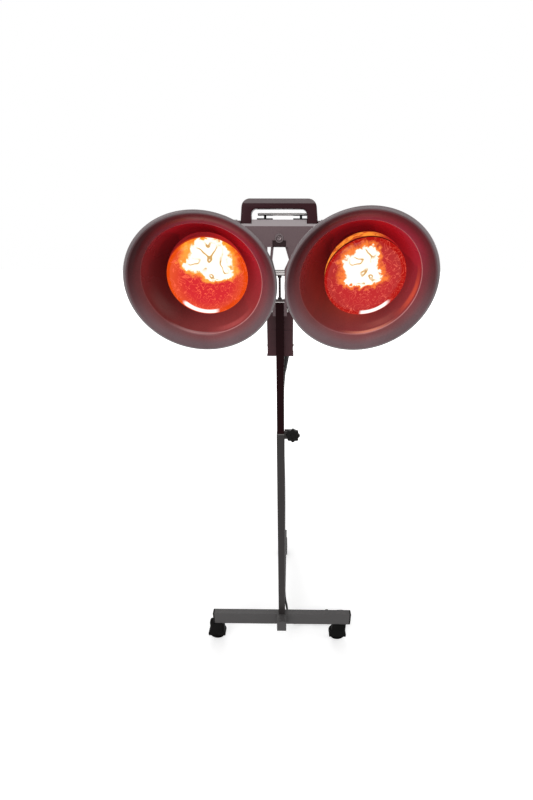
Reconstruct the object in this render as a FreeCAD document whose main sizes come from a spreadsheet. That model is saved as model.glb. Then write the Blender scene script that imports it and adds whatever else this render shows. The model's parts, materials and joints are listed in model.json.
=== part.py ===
"""Two-head infrared heat lamp on a castored T base with a telescopic mast.

Millimetres. The origin is on the floor under the mast's axis; +Z is up, and the lamps shine towards -Y.
"""
import FreeCAD, Part
import math
import os
import re

import Sketcher

Vector = FreeCAD.Vector
Rotation = FreeCAD.Rotation

SIZES = [
    # base: a cross bar in front, a joint block, and a spine to the rear
    ("base_under", 76, "floor to the underside of the base tubes"),
    ("base_height", 45, "height of the cross bar and the spine"),
    ("base_wall", 1.5, "wall of the cross bar"),
    ("bar_length", 442, "cross bar without its plugs"),
    ("bar_depth", 20, "cross bar, front to back"),
    ("block_width", 30, "joint block"),
    ("block_reach", 25, "joint block, in front of the bar"),
    ("block_height", 42, "joint block"),
    ("spine_width", 20, "spine tube"),
    ("spine_length", 410, "spine tube, behind the bar"),
    ("spine_wall", 2, "spine tube wall"),
    ("ballast_length", 300, "steel bar in the spine"),
    ("ballast_gap", 0.3, "ballast to the spine's wall"),
    ("ballast_stop", 4, "ballast to the rear castor's socket"),
    ("plug_head", 5, "part of an end plug that shows"),
    ("plug_depth", 8, "part of an end plug inside its tube"),
    ("plug_gap", 0.1, "end plug to its tube's wall"),
    ("plug_round", 1.5, "end plug's rounded edge"),
    # castors
    ("castor_inset", 18.5, "front castor's stem from the bar's end"),
    ("rear_inset", 23, "rear castor's stem from the spine's end"),
    ("castor_trail", 16, "stem axis to wheel axle"),
    ("wheel_radius", 26, "castor wheel"),
    ("wheel_width", 17, "castor wheel"),
    ("hub_radius", 8, "castor wheel's hub round the axle"),
    ("dish_depth", 3, "hollow in each side of the wheel between hub and tread"),
    ("dish_flare", 2, "hollow's sloping edge"),
    ("tread_rim", 4, "flat rim of the tread at each side"),
    ("tread_round", 1.5, "tread's sloping corner"),
    ("hood_radius", 28.5, "castor's hood round the wheel"),
    ("hood_gap", 1.5, "wheel's tread to its hood"),
    ("hood_skirt", 7, "hood below the axle"),
    ("crown_length", 47, "flat crown on the hood"),
    ("crown_before", 10, "crown on the stem's far side"),
    ("crown_round", 6, "crown's rounded corners"),
    ("axle_radius", 3, "castor axle"),
    ("cheek_thick", 3, "castor fork's cheek"),
    ("cheek_gap", 0.8, "wheel to cheek"),
    ("stem_radius", 4, "castor stem"),
    ("stem_length", 30, "castor stem above the base's underside"),
    ("socket_radius", 7, "castor socket"),
    ("crown_gap", 0.5, "crown to the base's underside"),
    ("running_gap", 0.06, "radial clearance of a pin in its hole"),
    # mast
    ("tube_side", 20, "outer mast tube"),
    ("tube_wall", 0.8, "outer mast tube wall"),
    ("tube_top", 763, "top of the outer mast tube above the floor"),
    ("slide_gap", 0.2, "inner tube to outer tube, each side"),
    ("inner_wall", 1, "inner mast tube wall"),
    ("inner_length", 600, "inner mast tube"),
    ("mast_top", 1078, "top of the inner mast tube above the floor"),
    ("bush_height", 3, "guide bush on the outer tube"),
    ("foot_height", 12, "slide foot under the inner tube"),
    # clamp at the top of the outer tube
    ("lug_reach", 28, "clamp lugs, out from the tube"),
    ("lug_height", 26, "clamp lugs"),
    ("lug_rise", 14, "clamp lugs above the tube's top"),
    ("screw_rise", 4.5, "clamp screw's axis above the tube's top"),
    ("slit_width", 4, "clamp slit in the outer tube's right wall"),
    ("slit_length", 32, "clamp slit"),
    ("lug_thick", 3, "clamp lugs"),
    ("lug_space", 8, "between the two clamp lugs"),
    ("screw_out", 21, "clamp screw's axis from the tube's side"),
    ("screw_radius", 3, "clamp screw"),
    ("knob_radius", 17.5, "star knob over its lobes"),
    ("knob_thick", 13, "star knob"),
    ("knob_lobes", 8, "lobes of the star knob"),
    ("lobe_radius", 4.6, "one lobe of the star knob"),
    ("knob_neck", 7, "collar between knob and lug"),
    ("neck_radius", 6.5, "collar between knob and lug"),
    ("screw_tail", 5, "clamp screw's end behind the rear lug"),
    # switch box behind the mast
    ("case_width", 59.5, "switch box"),
    ("case_depth", 45, "switch box"),
    ("case_drop", 4, "top of the switch box below the mast's top"),
    ("upper_height", 57, "box's upper shell"),
    ("lower_height", 59, "box's lower shell"),
    ("case_wall", 1.5, "switch box wall"),
    ("case_lip", 1.2, "the lower shell's foot lip stands proud by this"),
    ("lip_height", 4, "height of the foot lip"),
    ("side_screw_radius", 1.6, "side screws"),
    ("side_screw_head", 3, "side screws' heads"),
    ("side_screw_high", 1.8, "side screws' heads"),
    ("side_screw_bite", 4, "side screws inside the box"),
    ("side_screw_up", 21, "side screws above the box's underside"),
    ("rocker_width", 13, "rocker switch"),
    ("rocker_height", 19, "rocker switch"),
    ("rocker_out", 3, "rocker outside the box's back wall"),
    ("rocker_crest", 1, "rocker's raised ends above that"),
    ("rocker_dip", 0.8, "rocker's hollow middle below that"),
    ("rocker_nip", 3, "rocker's root in from each end"),
    ("rocker_gap", 0.6, "rocker to its frame"),
    ("rocker_apart", 24, "between the two rockers"),
    ("rocker_root", 4.5, "rocker inside the box's back face"),
    ("switch_depth", 28, "switch body inside the box"),
    ("sleeve_wall", 1, "wall of the switch's sleeve"),
    ("bezel_rim", 2.5, "frame round a rocker"),
    ("bezel_thick", 1.5, "frame round a rocker"),
    ("terminal_width", 30, "terminal block"),
    ("terminal_depth", 14, "terminal block"),
    ("terminal_height", 12, "terminal block"),
    ("terminal_bore", 2.2, "wire holes of the terminal block"),
    ("terminal_pitch", 10, "between the wire holes"),
    ("terminal_aside", 8, "terminal block, left of the mast's axis"),
    ("gland_across", 14.5, "strain relief, right of the mast's axis"),
    ("gland_back", 26, "strain relief, behind the mast's axis"),
    ("gland_length", 40, "strain relief under the box"),
    ("gland_lean", 5, "strain relief's lower end nearer to the mast"),
    ("gland_top_radius", 6, "strain relief at the box"),
    ("gland_end_radius", 4.6, "strain relief at its lower end"),
    ("gland_flange", 7.5, "strain relief's flanges on both sides of the box's floor"),
    ("gland_collar", 4, "strain relief's flange under the box"),
    ("gland_shoulder", 5, "strain relief's shoulder in the box"),
    ("cord_radius", 3.5, "mains cord"),
    # straps and bracket on the mast's top
    ("strap_thick", 5, "side straps"),
    ("strap_depth", 16, "side straps, front to back"),
    ("strap_overlap", 28, "straps below the mast's top"),
    ("cap_width", 21, "cap on the mast's top and the space between the straps"),
    ("top_plug_head", 2, "cap on the mast's top"),
    ("plate_thick", 4.5, "bright plate on the mast's cap"),
    ("yoke_left", 15, "left strap's widest bend from the mast's axis"),
    ("yoke_right", 19.5, "right strap's widest bend from the mast's axis"),
    ("yoke_drop", 23, "straps' widest bend below the bracket"),
    ("mount_width", 24, "mount block between the straps"),
    ("mount_bolt_rise", 18, "mount block's cross bolt above its foot"),
    ("bolt_radius", 2.5, "bolts of the straps and the dome screw"),
    ("bolt_head", 4.5, "strap bolts' heads and nuts"),
    ("bolt_head_high", 3, "strap bolts' heads and nuts"),
    ("spacer_radius", 6.4, "cross spacer between the straps"),
    ("bow_clear", 1, "straight strap above the spacer"),
    ("spacer_rise", 59, "cross spacer above the mast's top"),
    ("rod_radius", 2.6, "draw rod under the spacer"),
    ("rod_nut", 4.4, "nuts on the draw rod"),
    ("rod_nut_high", 3.5, "nuts on the draw rod"),
    ("bracket_front", 14, "bracket's front face before the mast's axis"),
    ("bracket_back", 14, "bracket's rear edge behind the mast's axis"),
    ("bracket_rise", 107, "bracket's lower edge above the mast's top"),
    ("bracket_height", 41.5, "bracket up to its flat shoulder"),
    ("bevel_high", 4.5, "bevel along the shoulder's front"),
    ("bevel_deep", 4, "bevel along the shoulder's front"),
    ("skirt_drop", 30, "bracket's skirts below its lower edge"),
    ("skirt_out", 60, "bracket's skirts from the mast's axis"),
    ("skirt_left", 24, "left skirt's inner edge from the mast's axis"),
    ("skirt_right", 17, "right skirt's inner edge from the mast's axis"),
    ("skirt_lean", 7, "right skirt's inner edge leans out by this"),
    ("bracket_wall", 1.5, "bracket sheet"),
    ("back_rise", 12, "bracket's back edge above its front edge"),
    ("notch_width", 28, "notch under the dome screw"),
    ("notch_gap", 0.5, "mount block's face to the notch, each side"),
    ("notch_height", 12, "notch under the dome screw"),
    ("ridge_end_gap", 0.5, "bevelled ridge to the handle's leg"),
    ("ridge_height", 7.5, "ridge above the shoulder"),
    ("ridge_setback", 5, "ridge's top edge behind its foot"),
    ("ridge_depth", 14, "ridge, front to back"),
    ("dome_rise", 16, "dome screw above the bracket's lower edge"),
    ("dome_radius", 6, "dome screw's head"),
    ("dome_bite", 8, "dome screw inside the mount block"),
    ("washer_radius", 8.5, "washer under the dome screw"),
    ("washer_thick", 1.5, "washer under the dome screw"),
    # handle
    ("handle_width", 155, "lamp bracket, and the carrying handle at its feet"),
    ("handle_taper", 5, "carrying handle's top in from its foot, each side"),
    ("handle_height", 43.5, "carrying handle above the shoulder"),
    ("handle_depth", 22, "carrying handle, front to back"),
    ("leg_width", 22, "handle's leg at its foot"),
    ("grip_height", 18, "handle's grip bar"),
    ("grip_bevel_high", 9, "bevel along the grip's top front edge"),
    ("grip_bevel_deep", 8, "bevel along the grip's top front edge"),
    ("handle_corner", 17, "handle's outer corner radius"),
    ("window_corner", 10, "handle's inner corner radius"),
    ("handle_screw_radius", 2, "screws up into the handle's legs"),
    ("handle_screw_long", 12, "screws up into the handle's legs"),
    ("handle_edge", 2.5, "handle's rounded edge"),
    # rail behind the handle
    ("rail_radius", 3, "rear rail"),
    ("rail_length", 104, "rear rail"),
    ("rail_back", 27, "rear rail behind the mast's axis"),
    ("rail_rise", 19, "rear rail above the bracket's shoulder"),
    ("rail_aside", 7, "rear rail's middle, right of the mast's axis"),
    ("rail_block", 32, "length of a rail block"),
    ("rail_block_apart", 74, "between the rail blocks' middles"),
    ("rail_block_deep", 18, "rail block, front to back"),
    ("rail_block_rise", 11, "rail block above the bracket's shoulder"),
    ("rail_block_drop", 24, "rail block below the bracket's shoulder"),
    ("rail_post", 2.5, "posts between the blocks and the rail"),
    # swing arms
    ("arm_drop", 2.5, "swing arms below the bracket's shoulder"),
    ("arm_out", 11.5, "arm's hinge outside the handle's foot"),
    ("arm_forward", 5, "arm's hinge before the mast's axis"),
    ("arm_reach", 72, "hinge to swivel"),
    ("arm_thick", 8, "swing arm"),
    ("arm_width", 12, "swing arm"),
    ("eye_radius", 8, "eye at each end of the arm"),
    ("pin_radius", 3, "arm and knuckle pins"),
    ("pin_head", 5.5, "heads and nuts of the pins"),
    ("pin_head_high", 2, "pin heads"),
    ("pin_nut_high", 3, "pin nuts"),
    ("ear_thick", 3.4, "ears round an eye"),
    ("ear_gap", 0.3, "eye to ear"),
    ("web_thick", 2, "bracket's end web"),
    ("swing_left", 47.6, "left arm's angle out from straight ahead"),
    ("swing_right", 42.6, "right arm's angle out from straight ahead"),
    ("toe_left", 9, "left head's aim towards the middle"),
    ("toe_right", 2.4, "right head's aim towards the middle"),
    ("tilt_left", 27.4, "left head's aim below level"),
    ("tilt_right", 26.4, "right head's aim below level"),
    # heads, measured along their own axis from the rim's plane
    ("knuckle_length", 22, "swivel pin to tilt pin"),
    ("rim_reach", 220, "tilt pin to the rim's plane"),
    ("rim_radius", 111, "shade at its rim"),
    ("bead_radius", 2, "rolled bead at the rim"),
    ("shade_wall", 1.2, "shade sheet"),
    ("step_radius", 91, "step between the rim band and the bowl"),
    ("step_depth", 15, "step behind the rim"),
    ("floor_radius", 42, "shade's flat floor"),
    ("floor_depth", 104, "shade's floor behind the rim"),
    ("throat_radius", 31, "hole in the shade's floor"),
    ("housing_radius", 31.5, "lamp holder's housing"),
    ("housing_wall", 1, "lamp holder's housing"),
    ("housing_end", 198, "housing's rear end behind the rim"),
    ("housing_rear", 27, "housing's radius at its rear end"),
    ("flange_radius", 40, "housing's front flange"),
    ("flange_thick", 1.5, "housing's front flange"),
    ("vent_count", 10, "vent slots round the housing"),
    ("vent_width", 5, "vent slot"),
    ("vent_length", 34, "vent slot"),
    ("cap_thick", 4, "rear cap"),
    ("cap_spigot", 6, "rear cap's spigot in the housing"),
    ("lug_half", 6, "half the tilt lug's width"),
    ("lug_radius", 9, "tilt lug's end"),
    ("web_gap", 1.5, "tilt lug to the knuckle's web"),
    ("eye_gap", 1, "arm's eye to the knuckle's web"),
    ("ear_trim", 0.5, "knuckle's ear in from the lug's outline"),
    ("knuckle_ear", 4, "knuckle's ears"),
    ("bulb_radius", 62.5, "reflector bulb over its rim"),
    ("bulb_apex", 18, "bulb's face behind the rim"),
    ("bulb_rim_depth", 34, "bulb's widest place behind the rim"),
    ("bulb_end", 156, "glass meets the screw cap"),
    ("bulb_neck", 17, "bulb's neck"),
    ("bulb_tuck", 6, "length over which the neck closes on its screw cap"),
    ("stem_deep", 62, "filament's stem inside the bulb"),
    ("stem_thick", 3.5, "filament's stem"),
    ("filament_long", 36, "filament"),
    ("filament_thick", 1.5, "filament"),
    ("contact_radius", 4.5, "contact on the screw cap's end"),
    ("contact_high", 4, "contact on the screw cap's end"),
    ("glass_wall", 1.2, "bulb's glass"),
    ("screw_cap_radius", 13, "bulb's screw cap"),
    ("screw_cap_length", 25, "bulb's screw cap"),
    ("holder_radius", 21, "lamp holder"),
    ("holder_front", 157, "lamp holder's mouth behind the rim"),
    ("holder_bevel", 2, "lamp holder's bevelled mouth"),
    ("holder_gap", 0.4, "screw cap to lamp holder"),
    ("seat_deep", 2, "lamp holder's seat in the rear cap"),
    ("lean_left", 2.8, "left lamp's lean to the right in its holder"),
    ("lean_right", 3.5, "right lamp's lean to the right in its holder"),
    ("droop_left", 0, "left lamp's droop in its holder"),
    ("droop_right", 0.9, "right lamp's droop in its holder"),
    # put-away cord
    ("hank_start", 80, "hank's near end from the mast's axis"),
    ("hank_length", 160, "hank"),
    ("hank_back", 79, "hank's middle behind the mast's axis"),
    ("hank_width", 54, "hank"),
    ("hank_height", 13.6, "hank"),
    ("hank_round", 5, "hank's rounded long edges"),
    ("tie_wall", 1, "strap round the hank"),
    ("tie_width", 9, "strap round the hank"),
    ("cordplug_back", 85, "mains plug's middle behind the mast's axis"),
    ("cordplug_width", 30, "mains plug's body"),
    ("cordplug_thick", 14, "mains plug's body"),
    ("boot_step", 1, "plug's boot below its body, all round"),
    ("cordplug_length", 34, "mains plug's body"),
    ("cordplug_boot", 12, "mains plug's boot"),
    ("cordplug_round", 5, "mains plug's rounded corners"),
    ("prong_length", 19, "mains plug's pins"),
    ("prong_radius", 2, "mains plug's pins"),
    ("prong_apart", 19, "between the mains plug's pins"),
]

doc = FreeCAD.newDocument("heat_lamp")
sheet = doc.addObject("Spreadsheet::Sheet", "sizes")
for row, (alias, number, note) in enumerate(SIZES, 1):
    sheet.set(f"A{row}", note)
    sheet.set(f"B{row}", str(number))
    sheet.setAlias(f"B{row}", alias)
doc.recompute()
ALIASES = {alias for alias, number, note in SIZES}
PARTS = []


# ---------------------------------------------------------------- how the pieces are built

def linked(text):
    """The expression with each size's name turned into its cell in the sheet."""
    return re.sub(r"[a-z_]+", lambda m: "sizes." + m.group(0) if m.group(0) in ALIASES else m.group(0),
                  str(text))


def size(name):
    """A size's value."""
    return float(sheet.get(name))


def value(text):
    """What an expression of the sheet's sizes comes to."""
    probe = doc.addObject("App::FeaturePython", "probe")
    probe.addProperty("App::PropertyFloat", "Value")
    probe.setExpression("Value", linked(text))
    probe.recompute()
    number = float(probe.Value)
    doc.removeObject(probe.Name)
    return number


def bind(item, **sizes):
    """Ties the item's properties to expressions of the sheet's sizes."""
    for name, text in sizes.items():
        item.setExpression(name, linked(text))
    return item


def place(item, x, y, z):
    """Ties the item's place to expressions of the sheet's sizes."""
    for axis, text in zip("xyz", (x, y, z)):
        item.setExpression("Placement.Base." + axis, linked(text))
    return item


def block(name, across, deep, high, x="0", y="0", z="0"):
    """A box centred on x and y that stands on z."""
    item = bind(doc.addObject("Part::Box", name), Length=across, Width=deep, Height=high)
    return place(item, f"({x}) - ({across}) / 2", f"({y}) - ({deep}) / 2", z)


TURNS = {"x": Rotation(Vector(0, 1, 0), 90), "y": Rotation(Vector(1, 0, 0), -90), "z": Rotation()}


def rod(name, radius, length, x="0", y="0", z="0", along="z"):
    """A round bar that starts at x, y, z and runs along an axis."""
    item = bind(doc.addObject("Part::Cylinder", name), Radius=radius, Height=length)
    item.Placement = FreeCAD.Placement(Vector(), TURNS[along])
    return place(item, x, y, z)


def taper(name, radius, end_radius, length, x="0", y="0", z="0", along="z"):
    """A cone that starts at x, y, z and runs along an axis."""
    item = bind(doc.addObject("Part::Cone", name), Radius1=radius, Radius2=end_radius, Height=length)
    item.Placement = FreeCAD.Placement(Vector(), TURNS[along])
    return place(item, x, y, z)


def joined(name, items):
    """One solid from several."""
    item = doc.addObject("Part::MultiFuse", name)
    item.Shapes = items
    item.Refine = True
    return item


def cut(name, base, tools):
    """The base without the tools."""
    tool = tools[0] if len(tools) == 1 else group(name + "_tools", tools)
    item = doc.addObject("Part::Cut", name)
    item.Base = base
    item.Tool = tool
    return item


def group(name, items):
    """Like pieces that share a node, as separate solids."""
    item = doc.addObject("Part::Compound", name)
    item.Links = items
    return item


def rounded(name, base, radius, chosen):
    """The base with its chosen edges rounded."""
    doc.recompute()
    item = doc.addObject("Part::Fillet", name)
    item.Base = base
    item.Edges = [(i, size(radius), size(radius)) for i,
                  edge in enumerate(base.Shape.Edges, 1) if chosen(edge)]
    return item


def sketch_on(body, plane):
    """A sketch on one of the body's own origin planes."""
    sketch = body.newObject("Sketcher::SketchObject", body.Name + "_sketch")
    face = next(f for f in body.Origin.OriginFeatures if f.Role == plane)
    sketch.AttachmentSupport = [(face, "")]
    sketch.MapMode = "FlatFace"
    return sketch


def outline(sketch, points):
    """A closed outline whose corners are expressions of the sheet's sizes."""
    doc.recompute()
    corners = [Vector(value(across), value(up), 0) for across, up in points]
    for start, end in zip(corners, corners[1:] + corners[:1]):
        sketch.addGeometry(Part.LineSegment(start, end), False)
    for i, (corner, pair) in enumerate(zip(corners, points)):
        sketch.addConstraint(Sketcher.Constraint("Coincident", (i - 1) % len(points), 2, i, 1))
        for kind, number, text in zip(("DistanceX", "DistanceY"), (corner.x, corner.y), pair):
            if abs(number) < 1e-9:
                axis = -2 if kind == "DistanceX" else -1
                sketch.addConstraint(Sketcher.Constraint("PointOnObject", i, 1, axis))
                continue
            index = sketch.addConstraint(Sketcher.Constraint(kind, -1, 1, i, 1, number))
            sketch.setExpression(f"Constraints[{index}]", linked(text))


def turned(name, points):
    """A body turned about its own Y axis from an outline of (radius, y) corners."""
    body = doc.addObject("PartDesign::Body", name)
    sketch = sketch_on(body, "XY_Plane")
    outline(sketch, points)
    revolution = body.newObject("PartDesign::Revolution", name + "_turn")
    revolution.Profile = sketch
    revolution.ReferenceAxis = (sketch, ["V_Axis"])
    revolution.Angle = 360
    body.Tip = revolution
    return body


def padded(name, plane, points, length):
    """A body padded evenly to both sides of one of its origin planes."""
    body = doc.addObject("PartDesign::Body", name)
    sketch = sketch_on(body, plane)
    outline(sketch, points)
    pad = body.newObject("PartDesign::Pad", name + "_pad")
    pad.Profile = sketch
    pad.Midplane = True
    pad.setExpression("Length", linked(length))
    body.Tip = pad
    return body


def keep(item, label, placement=None):
    """Names a finished sub-part and, for a piece modelled at its joint, puts it in place."""
    if placement is not None:
        item.Placement = placement
    item.Label = label
    PARTS.append(item)
    return item


def thin_face(stretches, wall):
    """A wall's section in the XY plane. Each stretch is one smooth curve, and the wall lies to its right."""
    nodes = [point for k, stretch in enumerate(stretches) for point in (stretch if k == 0 else stretch[1:])]
    normals = []
    for i, point in enumerate(nodes):
        before = (point - nodes[i - 1]).normalize() if i else None
        after = (nodes[i + 1] - point).normalize() if i < len(nodes) - 1 else None
        before, after = before or after, after or before
        mean = (before + after).normalize()
        mitre = Vector(mean.y, -mean.x, 0)
        normals.append(mitre / max(0.5, mitre.dot(Vector(after.y, -after.x, 0))))
    behind = [point + normal * wall for point, normal in zip(nodes, normals)]
    on_axis = nodes[0].x == 0
    if on_axis:
        behind[0] = nodes[0] + Vector(0, abs(wall), 0)

    def curves(line):
        edges = []
        first = 0
        for stretch in stretches:
            count = len(stretch)
            run = line[first:first + count]
            first += count - 1
            if count == 2:
                edges.append(Part.LineSegment(*run).toShape())
                continue
            curve = Part.BSplineCurve()
            if on_axis:
                curve.interpolate(Points=run, InitialTangent=Vector(1, 0, 0), FinalTangent=Vector(0, 1, 0))
            else:
                curve.interpolate(run)
            edges.append(curve.toShape())
        return edges

    ends = [Part.LineSegment(nodes[0], behind[0]).toShape(),
            Part.LineSegment(nodes[-1], behind[-1]).toShape()]
    return Part.Face(Part.Wire(Part.__sortEdges__(curves(nodes) + curves(behind) + ends)))


# ---------------------------------------------------------------- base

BASE_TOP = "base_under + base_height"
BAR_BACK = "bar_depth / 2"


def tube_of(name, across, deep, high, wall, along, **at):
    """A rectangular tube that is open along X, Y or Z."""
    inside = [f"({text}) - 2 * {wall}" for text in (across, deep, high)]
    inside["xyz".index(along)] = (across, deep, high)["xyz".index(along)]
    centre = dict(at)
    if along != "z":
        centre["z"] = f"({at['z']}) + {wall}"
    return cut(name, block(name + "_outside", across, deep, high, **at),
               [block(name + "_inside", *inside, **centre)])


bar = tube_of("bar_tube", "bar_length", "bar_depth", "base_height", "base_wall", "x", z="base_under")
STEM_X = "(bar_length / 2 - castor_inset)"
bar_holes = [rod(f"bar_hole_{side}", "socket_radius", "base_wall", f"{sign} * {STEM_X}", z="base_under")
             for side, sign in (("left", "-1"), ("right", "1"))]
keep(cut("cross_bar", bar, bar_holes), "cross_bar")

BLOCK_MIDDLE = "-(bar_depth + block_reach) / 2"
BLOCK_UNDER = f"{BASE_TOP} - block_height"
keep(tube_of("joint_block", "block_width", "block_reach", "block_height", "base_wall", "y",
             y=BLOCK_MIDDLE, z=BLOCK_UNDER), "joint_block")

SPINE_MIDDLE = f"{BAR_BACK} + spine_length / 2"
SPINE_END = f"{BAR_BACK} + spine_length"
spine = tube_of("spine_tube", "spine_width", "spine_length", "base_height", "spine_wall", "y",
                y=SPINE_MIDDLE, z="base_under")
REAR_Y = f"({SPINE_END} - rear_inset)"
spine_hole = rod("spine_hole", "socket_radius", "spine_wall", y=REAR_Y, z="base_under")
keep(cut("spine", spine, [spine_hole]), "spine")

BALLAST_SIDE = "spine_width - 2 * spine_wall - 2 * ballast_gap"
BALLAST_END = f"{REAR_Y} - socket_radius - ballast_stop"
keep(block("ballast_bar", BALLAST_SIDE, "ballast_length", "base_height - 2 * spine_wall - ballast_gap",
           y=f"{BALLAST_END} - ballast_length / 2", z="base_under + spine_wall"), "ballast_bar")


def end_plug(name, across, high, wall, x, y, z, turn):
    """A moulded plug: a head over the tube's end and a shank inside it, modelled with its head towards -Y."""
    head = block(name + "_head", across, "plug_head", high, y="-plug_head / 2")
    head = rounded(name + "_soft", head, "plug_round",
                   lambda edge: abs(edge.CenterOfMass.y + size("plug_head")) < 1e-6)
    shank = block(name + "_shank", f"{across} - 2 * ({wall} + plug_gap)", "plug_depth",
                  f"{high} - 2 * ({wall} + plug_gap)", y="plug_depth / 2", z=f"{wall} + plug_gap")
    plug = joined(name, [head, shank])
    plug.Placement = FreeCAD.Placement(Vector(), Rotation(Vector(0, 0, 1), turn))
    return place(plug, x, y, z)


plugs = [
    end_plug("bar_plug_left", "bar_depth", "base_height", "base_wall", "-bar_length / 2", "0", "base_under",
             -90),
    end_plug("bar_plug_right", "bar_depth", "base_height", "base_wall", "bar_length / 2", "0", "base_under",
             90),
    end_plug("block_plug", "block_width", "block_height", "base_wall", "0", "-bar_depth / 2 - block_reach",
             BLOCK_UNDER, 0),
    end_plug("spine_plug", "spine_width", "base_height", "spine_wall", "0", SPINE_END, "base_under", 180),
]
keep(group("end_plugs", plugs), "end_plugs")

CASTORS = {
    "left": (f"-{STEM_X}", "0", 180),
    "right": (STEM_X, "0", 180),
    "rear": ("0", REAR_Y, 90),
}
sockets = []
for side, (x, y, trail_turn) in CASTORS.items():
    outside = rod(f"socket_{side}_outside", "socket_radius", "stem_length", x, y, "base_under")
    bore = rod(f"socket_{side}_bore", "stem_radius + running_gap", "stem_length", x, y, "base_under")
    sockets.append(cut(f"socket_{side}", outside, [bore]))
keep(group("castor_sockets", sockets), "castor_sockets")

# ---------------------------------------------------------------- castors, modelled about their stems


def upright_edge(edge):
    """An edge that stands straight up."""
    return abs(edge.BoundBox.ZLength - edge.Length) < 1e-6


FORK_WIDTH = "wheel_width + 2 * cheek_gap + 2 * cheek_thick"
WHEEL_ROOM = "wheel_width + 2 * cheek_gap"
CROWN_TOP = "base_under - crown_gap"
for side, (x, y, trail_turn) in CASTORS.items():
    stem_place = FreeCAD.Placement(Vector(), Rotation(Vector(0, 0, 1), trail_turn))
    hood = rod(f"hood_{side}", "hood_radius", FORK_WIDTH, "castor_trail", f"-({FORK_WIDTH}) / 2",
               "wheel_radius",
               "y")
    crown = block(f"crown_{side}", "crown_length", FORK_WIDTH, f"{CROWN_TOP} - wheel_radius",
                  "crown_length / 2 - crown_before", z="wheel_radius")
    crown = rounded(f"crown_{side}_soft", crown, "crown_round", upright_edge)
    stem = rod(f"stem_{side}", "stem_radius", "crown_gap + stem_length", z=CROWN_TOP)
    room = rod(f"wheel_room_{side}", "wheel_radius + hood_gap", WHEEL_ROOM, "castor_trail",
               f"-({WHEEL_ROOM}) / 2",
               "wheel_radius", "y")
    below = block(f"hood_open_{side}", "4 * wheel_radius", FORK_WIDTH, "2 * wheel_radius - hood_skirt",
                  "castor_trail", z="-wheel_radius")
    axle_hole = rod(f"axle_hole_{side}", "axle_radius", FORK_WIDTH, "castor_trail", f"-({FORK_WIDTH}) / 2",
                    "wheel_radius", "y")
    yoke = cut(f"fork_{side}_yoke", joined(f"fork_{side}_body", [crown, hood, stem]),
               [room, below, axle_hole])
    axle = rod(f"axle_{side}", "axle_radius", FORK_WIDTH, "castor_trail", f"-({FORK_WIDTH}) / 2",
               "wheel_radius", "y")
    fork = keep(group(f"castor_fork_{side}", [yoke, axle]), f"castor_fork_{side}", stem_place)
    place(fork, x, y, "0")
    wheel = turned(f"castor_wheel_{side}", [
        ("axle_radius + running_gap", "-wheel_width / 2"),
        ("hub_radius", "-wheel_width / 2"),
        ("hub_radius + dish_flare", "-wheel_width / 2 + dish_depth"),
        ("wheel_radius - tread_rim - dish_flare", "-wheel_width / 2 + dish_depth"),
        ("wheel_radius - tread_rim", "-wheel_width / 2"),
        ("wheel_radius - tread_round", "-wheel_width / 2"),
        ("wheel_radius", "-wheel_width / 2 + dish_depth"),
        ("wheel_radius", "wheel_width / 2 - dish_depth"),
        ("wheel_radius - tread_round", "wheel_width / 2"),
        ("wheel_radius - tread_rim", "wheel_width / 2"),
        ("wheel_radius - tread_rim - dish_flare", "wheel_width / 2 - dish_depth"),
        ("hub_radius + dish_flare", "wheel_width / 2 - dish_depth"),
        ("hub_radius", "wheel_width / 2"),
        ("axle_radius + running_gap", "wheel_width / 2"),
    ])
    keep(wheel, f"castor_wheel_{side}", stem_place)
    turn = math.radians(trail_turn)
    place(wheel, f"{x} + castor_trail * {round(math.cos(turn), 9)}",
          f"{y} + castor_trail * {round(math.sin(turn), 9)}", "wheel_radius")

# ---------------------------------------------------------------- mast

mast_tube = tube_of("mast_tube", "tube_side", "tube_side", f"tube_top - ({BASE_TOP})", "tube_wall", "z",
                    z=BASE_TOP)
slit = block("clamp_slit", "2 * tube_wall", "slit_width", "slit_length", "tube_side / 2", "0",
             "tube_top - slit_length")
keep(cut("outer_tube", mast_tube, [slit]), "outer_tube")

INNER_SIDE = "tube_side - 2 * tube_wall - 2 * slide_gap"
bush = block("bush_outside", "tube_side", "tube_side", "bush_height", z="tube_top")
bush_hole = block("bush_hole", f"{INNER_SIDE} + slide_gap", f"{INNER_SIDE} + slide_gap", "bush_height",
                  z="tube_top")
keep(cut("guide_bush", bush, [bush_hole]), "guide_bush")

INNER_FOOT = "mast_top - inner_length"
BOLT_LOW = "mast_top - strap_overlap / 2 - 3"
slider = tube_of("slider", INNER_SIDE, INNER_SIDE, "inner_length", "inner_wall", "z", z=INNER_FOOT)
slider_hole = rod("slider_bolt_hole", "bolt_radius", INNER_SIDE, f"-({INNER_SIDE}) / 2", "0", BOLT_LOW, "x")
keep(cut("inner_tube", slider, [slider_hole]), "inner_tube")
foot_head = block("foot_head", INNER_SIDE, INNER_SIDE, "foot_height / 3", z=f"{INNER_FOOT} - foot_height / 3")
foot_shank = block("foot_shank", f"{INNER_SIDE} - 2 * inner_wall - 2 * plug_gap",
                   f"{INNER_SIDE} - 2 * inner_wall - 2 * plug_gap", "foot_height", z=INNER_FOOT)
keep(joined("slide_foot", [foot_head, foot_shank]), "slide_foot")

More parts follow.
